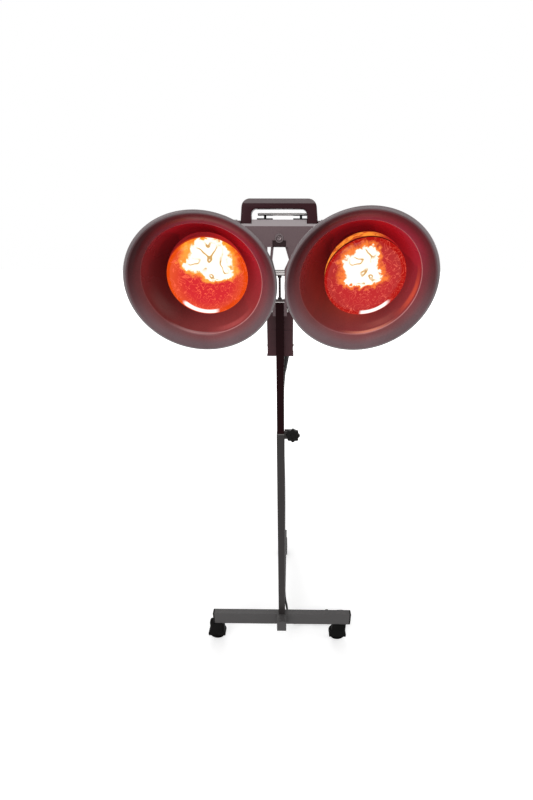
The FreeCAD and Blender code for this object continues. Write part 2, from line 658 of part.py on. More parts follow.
# clamp: two lugs on the outer tube's right side, drawn together by the star knob's screw
LUG_FOOT = "tube_top + lug_rise - lug_height"
SCREW_X = "tube_side / 2 + screw_out"
SCREW_Z = "tube_top + screw_rise"
lugs = []
for end, middle in (("front", "-(lug_space + lug_thick) / 2"), ("back", "(lug_space + lug_thick) / 2")):
    plate = block(f"lug_{end}_plate", "lug_reach", "lug_thick", "lug_height",
                  "tube_side / 2 + lug_reach / 2", middle, LUG_FOOT)
    hole = rod(f"lug_{end}_hole", "screw_radius + running_gap", "lug_space + 2 * lug_thick", SCREW_X,
               "-lug_space / 2 - lug_thick", SCREW_Z, "y")
    lugs.append(cut(f"lug_{end}", plate, [hole]))
keep(group("clamp_lugs", lugs), "clamp_lugs")

KNOB_FACE = "-lug_space / 2 - lug_thick - knob_neck"
disc = rod("knob_disc", "knob_radius - lobe_radius", "knob_thick", along="y")
lobes = []
for i in range(int(size("knob_lobes"))):
    angle = f"{i} * 360 / knob_lobes"
    lobes.append(rod(f"knob_lobe_{i}", "lobe_radius", "knob_thick",
                     f"(knob_radius - lobe_radius) * cos({angle})",
                     "0", f"(knob_radius - lobe_radius) * sin({angle})", "y"))
neck = rod("knob_collar", "neck_radius", "knob_neck - ear_gap", y="knob_thick", along="y")
screw = rod("knob_screw", "screw_radius", "knob_neck + lug_space + 2 * lug_thick + screw_tail",
            y="knob_thick",
            along="y")
knob = keep(joined("clamp_knob", [disc, neck, screw] + lobes), "clamp_knob")
place(knob, SCREW_X, f"{KNOB_FACE} - knob_thick", SCREW_Z)

# ---------------------------------------------------------------- switch box

CASE_FRONT = f"({INNER_SIDE}) / 2"
CASE_MIDDLE = f"{CASE_FRONT} + case_depth / 2"
CASE_BACK = f"{CASE_FRONT} + case_depth"
INNER_WIDTH = "case_width - 2 * case_wall"
INNER_DEPTH = "case_depth - 2 * case_wall"
ROCKERS = {"left": "-rocker_apart / 2", "right": "rocker_apart / 2"}
CASE_TOP = "mast_top - case_drop"
CASE_SEAM = f"{CASE_TOP} - upper_height"
CASE_BOTTOM = f"{CASE_SEAM} - lower_height"
ROCKER_Z = f"{CASE_SEAM} + upper_height / 2"

lower = block("lower_outside", "case_width", "case_depth", "lower_height", y=CASE_MIDDLE, z=CASE_BOTTOM)
lip = block("lower_lip", "case_width + 2 * case_lip", "case_depth", "lip_height", y=CASE_MIDDLE,
            z=CASE_BOTTOM)
lower_room = block("lower_room", INNER_WIDTH, INNER_DEPTH, "lower_height", y=CASE_MIDDLE,
                   z=f"{CASE_BOTTOM} + case_wall")
gland_hole = rod("gland_hole", "gland_top_radius", "case_wall", "gland_across", "gland_back", CASE_BOTTOM)
screw_holes = rod("side_screw_holes", "side_screw_radius", "case_width", "-case_width / 2", CASE_MIDDLE,
                  f"{CASE_BOTTOM} + side_screw_up", "x")
keep(cut("switch_box_lower", joined("lower_shell", [lower, lip]), [lower_room, gland_hole, screw_holes]),
     "switch_box_lower")

upper = block("upper_outside", "case_width", "case_depth", "upper_height", y=CASE_MIDDLE, z=CASE_SEAM)
upper_room = block("upper_room", INNER_WIDTH, INNER_DEPTH, "upper_height - case_wall", y=CASE_MIDDLE,
                   z=CASE_SEAM)
HOLE_WIDE = "rocker_width + 2 * rocker_gap"
HOLE_HIGH = "rocker_height + 2 * rocker_gap"
SLEEVE_WIDE = f"{HOLE_WIDE} + 2 * sleeve_wall"
SLEEVE_HIGH = f"{HOLE_HIGH} + 2 * sleeve_wall"
rocker_holes = [block(f"rocker_hole_{side}", SLEEVE_WIDE, "3 * case_wall", SLEEVE_HIGH, x, CASE_BACK,
                      f"{ROCKER_Z} - ({SLEEVE_HIGH}) / 2") for side, x in ROCKERS.items()]
keep(cut("switch_box_upper", upper, [upper_room] + rocker_holes), "switch_box_upper")

# each switch: a sleeve through the box's back wall with a frame outside and a closed body inside
bodies = []
for side, x in ROCKERS.items():
    rim = block(f"switch_{side}_frame", "rocker_width + 2 * bezel_rim", "bezel_thick",
                "rocker_height + 2 * bezel_rim",
                x, f"{CASE_BACK} + bezel_thick / 2", f"{ROCKER_Z} - rocker_height / 2 - bezel_rim")
    sleeve = block(f"switch_{side}_body", SLEEVE_WIDE, "switch_depth", SLEEVE_HIGH, x,
                   f"{CASE_BACK} - switch_depth / 2", f"{ROCKER_Z} - ({SLEEVE_HIGH}) / 2")
    mouth_deep = "rocker_root + 2 * rocker_gap + bezel_thick"
    mouth = block(f"switch_{side}_mouth", HOLE_WIDE, mouth_deep, HOLE_HIGH, x,
                  f"{CASE_BACK} + bezel_thick - ({mouth_deep}) / 2", f"{ROCKER_Z} - ({HOLE_HIGH}) / 2")
    bodies.append(cut(f"switch_{side}", joined(f"switch_{side}_solid", [rim, sleeve]), [mouth]))
keep(group("switch_bodies", bodies), "switch_bodies")
for side, x in ROCKERS.items():
    rocker = padded(f"rocker_{side}", "YZ_Plane", [
        ("-rocker_root", "-rocker_height / 2 + rocker_nip"),
        ("-rocker_root", "rocker_height / 2 - rocker_nip"),
        ("rocker_out + rocker_crest", "rocker_height / 2"),
        ("rocker_out - rocker_dip", "0"),
        ("rocker_out + rocker_crest", "-rocker_height / 2"),
    ], "rocker_width")
    keep(rocker, f"rocker_{side}")
    place(rocker, x, CASE_BACK, ROCKER_Z)

TERMINAL_Y = f"{CASE_BACK} - case_wall - terminal_depth"
TERMINAL_Z = f"{CASE_BOTTOM} + case_wall"
terminals = block("terminal_base", "terminal_width", "terminal_depth", "terminal_height", "-terminal_aside",
                  f"{TERMINAL_Y} + terminal_depth / 2", TERMINAL_Z)
terminal_bores = [rod(f"terminal_bore_{i}", "terminal_bore", "terminal_depth",
                      f"{i - 1} * terminal_pitch - terminal_aside",
                      TERMINAL_Y, f"{TERMINAL_Z} + terminal_height / 2", "y") for i in range(3)]
keep(cut("terminal_block", terminals, terminal_bores), "terminal_block")

shoulder = rod("gland_shoulder", "gland_flange", "gland_shoulder - case_wall", "gland_across", "gland_back",
               f"{CASE_BOTTOM} + case_wall")
throat = rod("gland_throat", "gland_top_radius", "case_wall", "gland_across", "gland_back", CASE_BOTTOM)
collar = rod("gland_collar", "gland_flange", "gland_collar", "gland_across", "gland_back",
             f"{CASE_BOTTOM} - gland_collar")
GLAND_END = f"{CASE_BOTTOM} - gland_length"
boot_way = Vector(size("gland_lean"), 0, size("gland_length") - size("gland_collar"))
boot = taper("gland_boot", "gland_end_radius", "gland_top_radius", "gland_length - gland_collar")
boot.Placement = FreeCAD.Placement(Vector(), Rotation(Vector(0, 0, 1), boot_way))
bind(boot, Height="sqrt((gland_length - gland_collar) ^ 2 + gland_lean ^ 2) + gland_collar / 2")
place(boot, "gland_across - gland_lean", "gland_back", GLAND_END)
keep(joined("cord_gland", [shoulder, throat, collar, boot]), "cord_gland")

# ---------------------------------------------------------------- mast top: plug, plate, rod, straps

PLUG_TOP = "mast_top + top_plug_head"
plug_head = block("top_plug_cap", "cap_width", INNER_SIDE, "top_plug_head", z="mast_top")
plug_shank = block("top_plug_shank", f"{INNER_SIDE} - 2 * inner_wall - 2 * plug_gap",
                   f"{INNER_SIDE} - 2 * inner_wall - 2 * plug_gap", "plug_depth", z="mast_top - plug_depth")
keep(joined("mast_plug", [plug_head, plug_shank]), "mast_plug")
PLATE_TOP = f"{PLUG_TOP} + plate_thick"
SPACER_Z = "mast_top + spacer_rise"
SPACER_UNDER = f"{SPACER_Z} - spacer_radius"
plate = block("rod_plate", "cap_width", INNER_SIDE, "plate_thick", z=PLUG_TOP)
stem = rod("rod_stem", "rod_radius", f"{SPACER_Z} - ({PLATE_TOP})", z=PLATE_TOP)
nuts = [rod(f"rod_nut_{end}", "rod_nut", "rod_nut_high", z=z)
        for end, z in (("low", PLATE_TOP), ("high", f"{SPACER_UNDER} - rod_nut_high"))]
keep(joined("draw_rod", [plate, stem] + nuts), "draw_rod")
spacer = rod("spacer_bar", "spacer_radius", "cap_width", "-cap_width / 2", "0", SPACER_Z, "x")
spacer_hole = rod("spacer_hole", "rod_radius", "spacer_radius", z=SPACER_UNDER)
keep(cut("cross_spacer", spacer, [spacer_hole]), "cross_spacer")

# the straps: straight up the mast and past the spacer, then bowed out, then in again to the mount block
BRACKET_BOTTOM = "mast_top + bracket_rise"
BRACKET_TOP = f"{BRACKET_BOTTOM} + bracket_height"
MOUNT_TOP = f"{BRACKET_TOP} - bracket_wall"
STRAP_FOOT = "mast_top - strap_overlap"
BOLT_HIGH = f"{BRACKET_BOTTOM} + mount_bolt_rise"
STRAP_BOLTS = {
    "low": (BOLT_LOW, "cap_width / 2 + strap_thick"),
    "high": (BOLT_HIGH, "mount_width / 2 + strap_thick"),
}
straps = []
for side, sign in (("left", "-1"), ("right", "1")):
    bow_foot = f"{SPACER_Z} + spacer_radius + bow_clear"
    bow = f"{BRACKET_BOTTOM} - yoke_drop"
    inside = [("cap_width / 2", "mast_top"), ("cap_width / 2", bow_foot), (f"yoke_{side}", bow),
              ("mount_width / 2", BRACKET_BOTTOM), ("mount_width / 2", MOUNT_TOP)]
    outside = [(f"{x} + strap_thick", z) for x, z in reversed(inside[1:])]
    edge = [(f"({INNER_SIDE}) / 2", STRAP_FOOT), (f"({INNER_SIDE}) / 2", "mast_top")] + inside + outside
    edge.append(("cap_width / 2 + strap_thick", STRAP_FOOT))
    strap = padded(f"strap_{side}_bar", "XZ_Plane", [(f"{sign} * ({x})", z) for x, z in edge], "strap_depth")
    holes = [rod(f"strap_{side}_hole_{end}", "bolt_radius", "case_width", "-case_width / 2", "0", z, "x")
             for end, (z, reach) in STRAP_BOLTS.items()]
    straps.append(cut(f"strap_{side}", strap, holes))
keep(group("side_straps", straps), "side_straps")

MOUNT_FRONT = "-bracket_front + bracket_wall"
MOUNT_BACK = "strap_depth / 2"
MOUNT_DEEP = f"({MOUNT_BACK}) - ({MOUNT_FRONT})"
MOUNT_Y = f"(({MOUNT_BACK}) + ({MOUNT_FRONT})) / 2"
MOUNT_HIGH = f"{MOUNT_TOP} - ({BRACKET_BOTTOM})"
core = block("mount_core", "mount_width", MOUNT_DEEP, MOUNT_HIGH, y=MOUNT_Y, z=BRACKET_BOTTOM)
FACE_DEEP = f"-strap_depth / 2 - ({MOUNT_FRONT})"
face = block("mount_face", "notch_width - 2 * notch_gap", FACE_DEEP, MOUNT_HIGH,
             y=f"(-strap_depth / 2 + ({MOUNT_FRONT})) / 2", z=BRACKET_BOTTOM)
mount_corner = block("mount_corner", "notch_width", "bevel_deep", "bevel_high",
                     y=f"{MOUNT_FRONT} + bevel_deep / 2", z=f"{MOUNT_TOP} - bevel_high")
mount_hole = rod("mount_bolt_hole", "bolt_radius", "case_width", "-case_width / 2", "0", BOLT_HIGH, "x")
DOME_Z = f"{BRACKET_BOTTOM} + dome_rise"
dome_hole = rod("mount_dome_hole", "bolt_radius", "dome_bite", "0", MOUNT_FRONT, DOME_Z, "y")
mount_body = joined("mount_body", [core, face])
keep(cut("mount_block", mount_body, [mount_hole, dome_hole, mount_corner]), "mount_block")

# ---------------------------------------------------------------- lamp bracket

RIDGE_TOP = f"{BRACKET_TOP} + ridge_height"
ARM_ACROSS = "(handle_width / 2 + arm_out)"
ARM_Z = f"{BRACKET_TOP} - arm_drop"
ARM_UNDER = f"{ARM_Z} - arm_thick / 2 - ear_gap - ear_thick"
EAR_HIGH = f"{ARM_Z} + arm_thick / 2 + ear_gap"
WEB_OUT = "handle_width / 2 + web_thick"
channel = padded("bracket_channel", "YZ_Plane", [
    ("-bracket_front", BRACKET_BOTTOM),
    ("-bracket_front", f"{BRACKET_TOP} - bevel_high"),
    ("-bracket_front + bevel_deep", BRACKET_TOP),
    ("bracket_back", BRACKET_TOP),
    ("bracket_back", f"{BRACKET_BOTTOM} + back_rise"),
    ("bracket_back - bracket_wall", f"{BRACKET_BOTTOM} + back_rise"),
    ("bracket_back - bracket_wall", f"{BRACKET_TOP} - bracket_wall"),
    ("-bracket_front + bevel_deep + bracket_wall / 2", f"{BRACKET_TOP} - bracket_wall"),
    ("-bracket_front + bracket_wall", f"{BRACKET_TOP} - bevel_high - bracket_wall / 2"),
    ("-bracket_front + bracket_wall", BRACKET_BOTTOM),
], "handle_width")
RIDGE_FRONT = "-bracket_front + bevel_deep"
ridge = padded("bracket_ridge", "YZ_Plane", [
    (RIDGE_FRONT, BRACKET_TOP),
    (f"{RIDGE_FRONT} + ridge_setback", RIDGE_TOP),
    (f"{RIDGE_FRONT} + ridge_depth", RIDGE_TOP),
    (f"{RIDGE_FRONT} + ridge_depth", BRACKET_TOP),
    (f"{RIDGE_FRONT} + ridge_depth - bracket_wall", BRACKET_TOP),
    (f"{RIDGE_FRONT} + ridge_depth - bracket_wall", f"{RIDGE_TOP} - bracket_wall"),
    (f"{RIDGE_FRONT} + ridge_setback + bracket_wall / 2", f"{RIDGE_TOP} - bracket_wall"),
    (f"{RIDGE_FRONT} + 2 * bracket_wall", BRACKET_TOP),
], "handle_width - 2 * (leg_width + ridge_end_gap)")
SKIRT_FOOT = f"{BRACKET_BOTTOM} - skirt_drop"
skirt_lines = {
    "left": [("-skirt_left", BRACKET_BOTTOM), ("-skirt_left", f"{SKIRT_FOOT} + skirt_drop / 4"),
             ("-skirt_out * 2 / 3", SKIRT_FOOT), ("-skirt_out", BRACKET_BOTTOM)],
    "right": [("skirt_right", BRACKET_BOTTOM), ("skirt_right + skirt_lean", f"{SKIRT_FOOT} + skirt_drop / 4"),
              ("skirt_out * 2 / 3", SKIRT_FOOT), ("skirt_out", BRACKET_BOTTOM)],
}
skirts = [place(padded(f"bracket_skirt_{side}", "XZ_Plane", line, "bracket_wall"), "0",
                "-bracket_front + bracket_wall / 2", "0") for side, line in skirt_lines.items()]
webs = []
for side, sign in (("left", "-1"), ("right", "1")):
    webs.append(block(f"web_{side}", "web_thick", "bracket_front + bracket_back",
                      f"{EAR_HIGH} + ear_thick - ({BRACKET_BOTTOM})", f"{sign} * ({WEB_OUT} - web_thick / 2)",
                      "(bracket_back - bracket_front) / 2", BRACKET_BOTTOM))
    for end, z in (("low", ARM_UNDER), ("high", EAR_HIGH)):
        reach = f"{ARM_ACROSS} - ({WEB_OUT} - web_thick)"
        ear = block(f"ear_{side}_{end}_arm", reach, "2 * eye_radius", "ear_thick",
                    f"{sign} * ({WEB_OUT} - web_thick + ({reach}) / 2)", "-arm_forward", z)
        tip = rod(f"ear_{side}_{end}_tip", "eye_radius", "ear_thick",
                  f"{sign} * {ARM_ACROSS}", "-arm_forward",
                  z)
        webs += [ear, tip]
sheet_metal = joined("bracket_sheet", [channel, ridge] + skirts + webs)
notch = block("bracket_notch", "notch_width", "2 * bracket_wall", "notch_height", y="-bracket_front",
              z=BRACKET_BOTTOM)
dome_pass = rod("bracket_dome_hole", "bolt_radius", "4 * bracket_wall", "0", "-bracket_front - bracket_wall",
                DOME_Z, "y")
pin_holes = [rod(f"bracket_pin_hole_{side}", "pin_radius", f"{EAR_HIGH} + ear_thick - ({ARM_UNDER})",
                 f"{sign} * {ARM_ACROSS}", "-arm_forward", ARM_UNDER) for side,
             sign in (("left", "-1"), ("right", "1"))]
keep(cut("lamp_bracket", sheet_metal, [notch, dome_pass] + pin_holes), "lamp_bracket")

DOME_Y = "-bracket_front - washer_thick"
washer = rod("dome_washer_disc", "washer_radius", "washer_thick", "0", DOME_Y, DOME_Z, "y")
washer_hole = rod("dome_washer_hole", "bolt_radius", "washer_thick", "0", DOME_Y, DOME_Z, "y")
dome_ball = bind(doc.addObject("Part::Sphere", "dome_ball"), Radius="dome_radius")
place(dome_ball, "0", DOME_Y, DOME_Z)
dome_trim = block("dome_trim", "3 * dome_radius", "dome_radius", "3 * dome_radius",
                  y=f"{DOME_Y} + dome_radius / 2", z=f"{DOME_Z} - 1.5 * dome_radius")
dome_head = cut("dome_head", dome_ball, [dome_trim])
dome_shank = rod("dome_shank", "bolt_radius", "washer_thick + bracket_wall + dome_bite",
                 "0", DOME_Y, DOME_Z, "y")
dome_bolt = joined("dome_bolt", [dome_head, dome_shank])
keep(group("dome_screw", [cut("dome_washer", washer, [washer_hole]), dome_bolt]), "dome_screw")

# ---------------------------------------------------------------- handle

LEG_X = "(handle_width - leg_width) / 2"
HANDLE_FRONT = "-bracket_front + bevel_deep"
HANDLE_Y = f"{HANDLE_FRONT} + handle_depth / 2"
HANDLE_TOP = f"{BRACKET_TOP} + handle_height"
arch_face = place(padded("handle_face", "XZ_Plane", [
    ("-handle_width / 2", BRACKET_TOP),
    ("-handle_width / 2 + handle_taper", HANDLE_TOP),
    ("handle_width / 2 - handle_taper", HANDLE_TOP),
    ("handle_width / 2", BRACKET_TOP),
], "handle_depth"), "0", HANDLE_Y, "0")
crest = value(HANDLE_TOP)
arch_face = rounded("handle_round", arch_face, "handle_corner",
                    lambda edge: edge.CenterOfMass.z > crest - 1e-6 and abs(edge.CenterOfMass.x) > 1)
arch_side = padded("handle_side", "YZ_Plane", [
    (HANDLE_FRONT, BRACKET_TOP),
    (HANDLE_FRONT, f"{HANDLE_TOP} - grip_bevel_high"),
    (f"{HANDLE_FRONT} + grip_bevel_deep", HANDLE_TOP),
    (f"{HANDLE_FRONT} + handle_depth", HANDLE_TOP),
    (f"{HANDLE_FRONT} + handle_depth", BRACKET_TOP),
], "handle_width")
arch = doc.addObject("Part::Common", "handle_whole")
arch.Base = arch_face
arch.Tool = arch_side
window = block("handle_window", "handle_width - 2 * leg_width", "2 * handle_depth",
               "handle_height - grip_height + window_corner", y=HANDLE_Y, z=f"{BRACKET_TOP} - window_corner")
middle = value(HANDLE_Y)
window = rounded("window_round", window, "window_corner",
                 lambda edge: abs(edge.CenterOfMass.y - middle) < 1e-6 and abs(edge.CenterOfMass.x) > 1)
arch = cut("handle_arch", arch, [window])
faces = [value(HANDLE_FRONT), value(f"{HANDLE_FRONT} + handle_depth")]
foot = value(BRACKET_TOP)
arch = rounded("handle_soft", arch, "handle_edge",
               lambda edge: min(abs(edge.CenterOfMass.y - y) for y in faces) < 1e-6
               and edge.CenterOfMass.z > foot + 1e-6)
handle_holes = [rod(f"handle_hole_{side}", "handle_screw_radius", "handle_screw_long", f"{sign} * ({LEG_X})",
                    HANDLE_Y, BRACKET_TOP)
                for side, sign in (("left", "-1"), ("right", "1"))]
keep(cut("carry_handle", arch, handle_holes), "carry_handle")

# ---------------------------------------------------------------- rear rail on two blocks behind the bracket

RAIL_Z = f"{BRACKET_TOP} + rail_rise"
keep(rod("rear_rail", "rail_radius", "rail_length", "rail_aside - rail_length / 2", "rail_back", RAIL_Z, "x"),
     "rear_rail")
rail_blocks = []
for side, sign in (("left", "-1"), ("right", "1")):
    x = f"rail_aside + {sign} * rail_block_apart / 2"
    solid = block(f"rail_block_{side}_solid", "rail_block", "rail_block_deep",
                  "rail_block_rise + rail_block_drop",
                  x, "bracket_back + rail_block_deep / 2", f"{BRACKET_TOP} - rail_block_drop")
    post = rod(f"rail_post_{side}", "rail_post", f"rail_rise - rail_block_rise", x, "rail_back",
               f"{BRACKET_TOP} + rail_block_rise")
    seat = rod(f"rail_seat_{side}", "rail_radius", "rail_block", f"{x} - rail_block / 2", "rail_back", RAIL_Z,
               "x")
    rail_blocks.append(cut(f"rail_block_{side}", joined(f"rail_block_{side}_posted", [solid, post]), [seat]))
keep(group("rail_blocks", rail_blocks), "rail_blocks")

# ---------------------------------------------------------------- arm pins and the bracket's screws

PIN_LONG = f"{EAR_HIGH} + ear_thick - ({ARM_UNDER})"
pins = []
for side, sign in (("left", "-1"), ("right", "1")):
    shaft = rod(f"arm_pin_{side}_shaft", "pin_radius", PIN_LONG, f"{sign} * {ARM_ACROSS}", "-arm_forward",
                ARM_UNDER)
    head = rod(f"arm_pin_{side}_head", "pin_head", "pin_head_high", f"{sign} * {ARM_ACROSS}", "-arm_forward",
               f"{EAR_HIGH} + ear_thick")
    nut = rod(f"arm_pin_{side}_nut", "pin_head", "pin_nut_high", f"{sign} * {ARM_ACROSS}", "-arm_forward",
              f"{ARM_UNDER} - pin_nut_high")
    pins.append(joined(f"arm_pin_{side}", [shaft, head, nut]))
keep(group("arm_pins", pins), "arm_pins")

screws = []
for end, (z, reach) in STRAP_BOLTS.items():
    shank = rod(f"strap_bolt_{end}_shank", "bolt_radius", f"2 * ({reach})", f"-({reach})", "0", z, "x")
    head = rod(f"strap_bolt_{end}_head", "bolt_head", "bolt_head_high", reach, "0", z, "x")
    nut = rod(f"strap_bolt_{end}_nut", "bolt_head", "bolt_head_high", f"-({reach}) - bolt_head_high", "0", z,
              "x")
    screws.append(joined(f"strap_bolt_{end}", [shank, head, nut]))
for side, sign in (("left", -1), ("right", 1)):
    shank = rod(f"handle_screw_{side}_shank", "handle_screw_radius", "handle_screw_long",
                f"{sign} * ({LEG_X})",
                HANDLE_Y, BRACKET_TOP)
    screws.append(shank)
    head_x = "case_width / 2" if sign > 0 else "-case_width / 2 - side_screw_high"
    head = rod(f"side_screw_{side}_head", "side_screw_head", "side_screw_high", head_x, CASE_MIDDLE,
               f"{CASE_BOTTOM} + side_screw_up", "x")
    tail_x = "case_width / 2 - side_screw_bite" if sign > 0 else "-case_width / 2"
    tail = rod(f"side_screw_{side}_tail", "side_screw_radius", "side_screw_bite", tail_x, CASE_MIDDLE,
               f"{CASE_BOTTOM} + side_screw_up", "x")
    screws.append(joined(f"side_screw_{side}", [head, tail]))
keep(group("frame_screws", screws), "frame_screws")

# ---------------------------------------------------------------- arms and heads

SIDES = {
    "left": (-1, size("swing_left"), size("toe_left"), size("tilt_left")),
    "right": (1, size("swing_right"), size("toe_right"), size("tilt_right")),
}


def depth(text):
    """A place on a head's axis, given as its depth behind the rim's plane."""
    return f"{text} - rim_reach"


def shade_section():
    """The shade's wall: a flared rim band, a step, the deep bowl and a flat floor."""
    reach = size("rim_reach")
    flare = [(size("rim_radius"), 0), (size("rim_radius") - 8, 5.2), (size("step_radius") + 5, 11.4),
             (size("step_radius"), size("step_depth"))]
    bowl_shares = [(0, 0), (0.07, 0.12), (0.21, 0.36), (0.42, 0.62), (0.68, 0.84), (0.88, 0.96), (1, 1)]
    inward = size("step_radius") - size("floor_radius")
    deeper = size("floor_depth") - size("step_depth")
    bowl = [(size("step_radius") - inward * a, size("step_depth") + deeper * b) for a, b in bowl_shares]
    floor = [bowl[-1], (size("throat_radius"), size("floor_depth"))]
    stretches = [[Vector(r, w - reach, 0) for r, w in stretch] for stretch in (flare, bowl, floor)]
    return thin_face(stretches, size("shade_wall"))


def bulb_section():
    """The bulb's glass: a domed face, a round shoulder, the reflector's curve and a straight neck."""
    reach = size("rim_reach")
    widest, apex, waist = size("bulb_radius"), size("bulb_apex"), size("bulb_rim_depth")
    dome = [(0, 0), (0.35, 0.05), (0.66, 0.21), (0.87, 0.44), (0.975, 0.72), (1, 1)]
    face = [(widest * a, apex + (waist - apex) * b) for a, b in dome]
    back_shares = [(0, 0), (0.015, 0.09), (0.06, 0.18), (0.16, 0.28), (0.36, 0.4), (0.64, 0.5), (0.87, 0.6),
                   (0.965, 0.74), (1, 0.9), (1, 1)]
    narrower = widest - size("bulb_neck")
    longer = size("bulb_end") - size("bulb_tuck") - waist
    back = [(widest - narrower * a, waist + longer * b) for a, b in back_shares]
    tuck = [back[-1], (size("screw_cap_radius") + 0.5, size("bulb_end"))]
    stretches = [[Vector(r, w - reach, 0) for r, w in stretch] for stretch in (face + back[1:], tuck)]
    return thin_face(stretches, -size("glass_wall"))


def whole_turn(name, face, bead=None):
    """A shell turned about the head's axis from a wall's section."""
    shape = face.revolve(Vector(), Vector(0, 1, 0), 360)
    if bead is not None:
        shape = shape.fuse(bead).removeSplitter()
    item = doc.addObject("Part::Feature", name)
    item.Shape = shape.Solids[0] if shape.Solids else Part.Solid(shape.Shells[0])
    return item


HOUSING_FRONT = depth("floor_depth + shade_wall")
CAP_FRONT = depth("housing_end")
CAP_BACK = depth("(housing_end + cap_thick)")
LAMP_FOOT = depth("(housing_end - cap_spigot + seat_deep)")
EYE_HALF = "arm_thick / 2"
SHELF_Z = "arm_thick / 2 + ear_gap"
for side, (sign, swing, toe, tilt) in SIDES.items():
    hinge = Vector(sign * value(ARM_ACROSS), -size("arm_forward"), value(ARM_Z))
    out = math.radians(swing)
    swivel = hinge + Vector(sign * math.sin(out), -math.cos(out), 0) * size("arm_reach")
    yaw = Rotation(Vector(0, 0, 1), -sign * toe)
    pivot = swivel + yaw.multVec(Vector(0, -size("knuckle_length"), 0))
    arm_place = FreeCAD.Placement(hinge, Rotation(Vector(0, 0, 1), sign * swing))
    knuckle_place = FreeCAD.Placement(swivel, yaw)
    head_place = FreeCAD.Placement(pivot, yaw.multiply(Rotation(Vector(1, 0, 0), tilt)))
    lean = Rotation(Vector(0, 0, 1), size(f"lean_{side}")).multiply(Rotation(Vector(1, 0, 0),
                                                                             size(f"droop_{side}")))
    lamp_aim = FreeCAD.Placement(Vector(), lean, Vector(0, value(LAMP_FOOT), 0))
    lamp_place = head_place.multiply(lamp_aim)

    # swing arm: a flat bar with an eye at each end, modelled from its hinge towards -Y
    web = block(f"arm_{side}_bar", "arm_width", "arm_reach", "arm_thick", y="-arm_reach / 2",
                z=f"-{EYE_HALF}")
    eyes = [rod(f"arm_{side}_eye_{i}", "eye_radius", "arm_thick", y=y, z=f"-{EYE_HALF}")
            for i, y in enumerate(("0", "-arm_reach"))]
    holes = [rod(f"arm_{side}_hole_{i}", "pin_radius + running_gap", "arm_thick", y=y, z=f"-{EYE_HALF}")
             for i, y in enumerate(("0", "-arm_reach"))]
    keep(cut(f"swing_arm_{side}", joined(f"arm_{side}_forging", [web] + eyes), holes), f"swing_arm_{side}",
         arm_place)

    # knuckle: two shelves round the arm's eye, a web, and two ears round the head's tilt lug
    ear_out = "lug_half + ear_gap + knuckle_ear"
    web_front = "-knuckle_length + lug_radius + web_gap"
    web_back = "-eye_radius - eye_gap"
    shelf_deep = f"eye_radius - ({web_front})"
    pieces = []
    for end, z in (("low", f"-({SHELF_Z}) - ear_thick"), ("high", SHELF_Z)):
        pieces.append(block(f"shelf_{side}_{end}", f"2 * ({ear_out})", f"-({web_front})", "ear_thick",
                            y=f"({web_front}) / 2", z=z))
        pieces.append(rod(f"shelf_{side}_{end}_tip", "eye_radius", "ear_thick", z=z))
    pieces.append(block(f"knuckle_{side}_web", f"2 * ({ear_out})", f"({web_back}) - ({web_front})",
                        f"2 * ({SHELF_Z} + ear_thick)", y=f"(({web_back}) + ({web_front})) / 2",
                        z=f"-({SHELF_Z}) - ear_thick"))
    for hand, middle in (("a", "1"), ("b", "-1")):
        x = f"{middle} * (lug_half + ear_gap + knuckle_ear / 2)"
        pieces.append(block(f"ear_{side}_{hand}", "knuckle_ear", f"knuckle_length + ({web_front})",
                            "2 * (lug_radius - ear_trim)",
                            x, f"(-knuckle_length + ({web_front})) / 2", "-lug_radius + ear_trim"))
        pieces.append(rod(f"ear_{side}_{hand}_end", "lug_radius - ear_trim", "knuckle_ear",
                          f"{x} - knuckle_ear / 2", "-knuckle_length", "0", "x"))
    swivel_hole = rod(f"knuckle_{side}_swivel_hole", "pin_radius", f"2 * ({SHELF_Z} + ear_thick)",
                      z=f"-({SHELF_Z}) - ear_thick")
    tilt_hole = rod(f"knuckle_{side}_tilt_hole", "pin_radius", f"2 * ({ear_out})", f"-({ear_out})",
                    "-knuckle_length", "0", "x")
    keep(cut(f"knuckle_{side}", joined(f"knuckle_{side}_casting", pieces), [swivel_hole, tilt_hole]),
         f"knuckle_{side}", knuckle_place)

    # swivel pin and tilt pin, both fast in the knuckle
    swivel_pin = joined(f"swivel_pin_{side}", [
        rod(f"swivel_pin_{side}_shaft", "pin_radius", f"2 * ({SHELF_Z} + ear_thick)",
            z=f"-({SHELF_Z}) - ear_thick"),
        rod(f"swivel_pin_{side}_head", "pin_head", "pin_head_high", z=f"{SHELF_Z} + ear_thick"),
        rod(f"swivel_pin_{side}_nut", "pin_head", "pin_nut_high",
            z=f"-({SHELF_Z}) - ear_thick - pin_nut_high"),
    ])
    tilt_pin = joined(f"tilt_pin_{side}", [
        rod(f"tilt_pin_{side}_shaft", "pin_radius", f"2 * ({ear_out})", f"-({ear_out})", "-knuckle_length",
            "0",
            "x"),
        rod(f"tilt_pin_{side}_head", "pin_head", "pin_nut_high", ear_out, "-knuckle_length", "0", "x"),
        rod(f"tilt_pin_{side}_nut", "pin_head", "pin_nut_high", f"-({ear_out}) - pin_nut_high",
            "-knuckle_length", "0",
            "x"),
    ])
    keep(group(f"knuckle_pins_{side}", [swivel_pin, tilt_pin]), f"knuckle_pins_{side}", knuckle_place)

    # reflector shade with its rolled bead
    bead = Part.makeTorus(size("rim_radius"), size("bead_radius"), Vector(0, -size("rim_reach"), 0),
                          Vector(0, 1, 0))
    keep(whole_turn(f"shade_{side}", shade_section(), bead), f"shade_{side}", head_place)

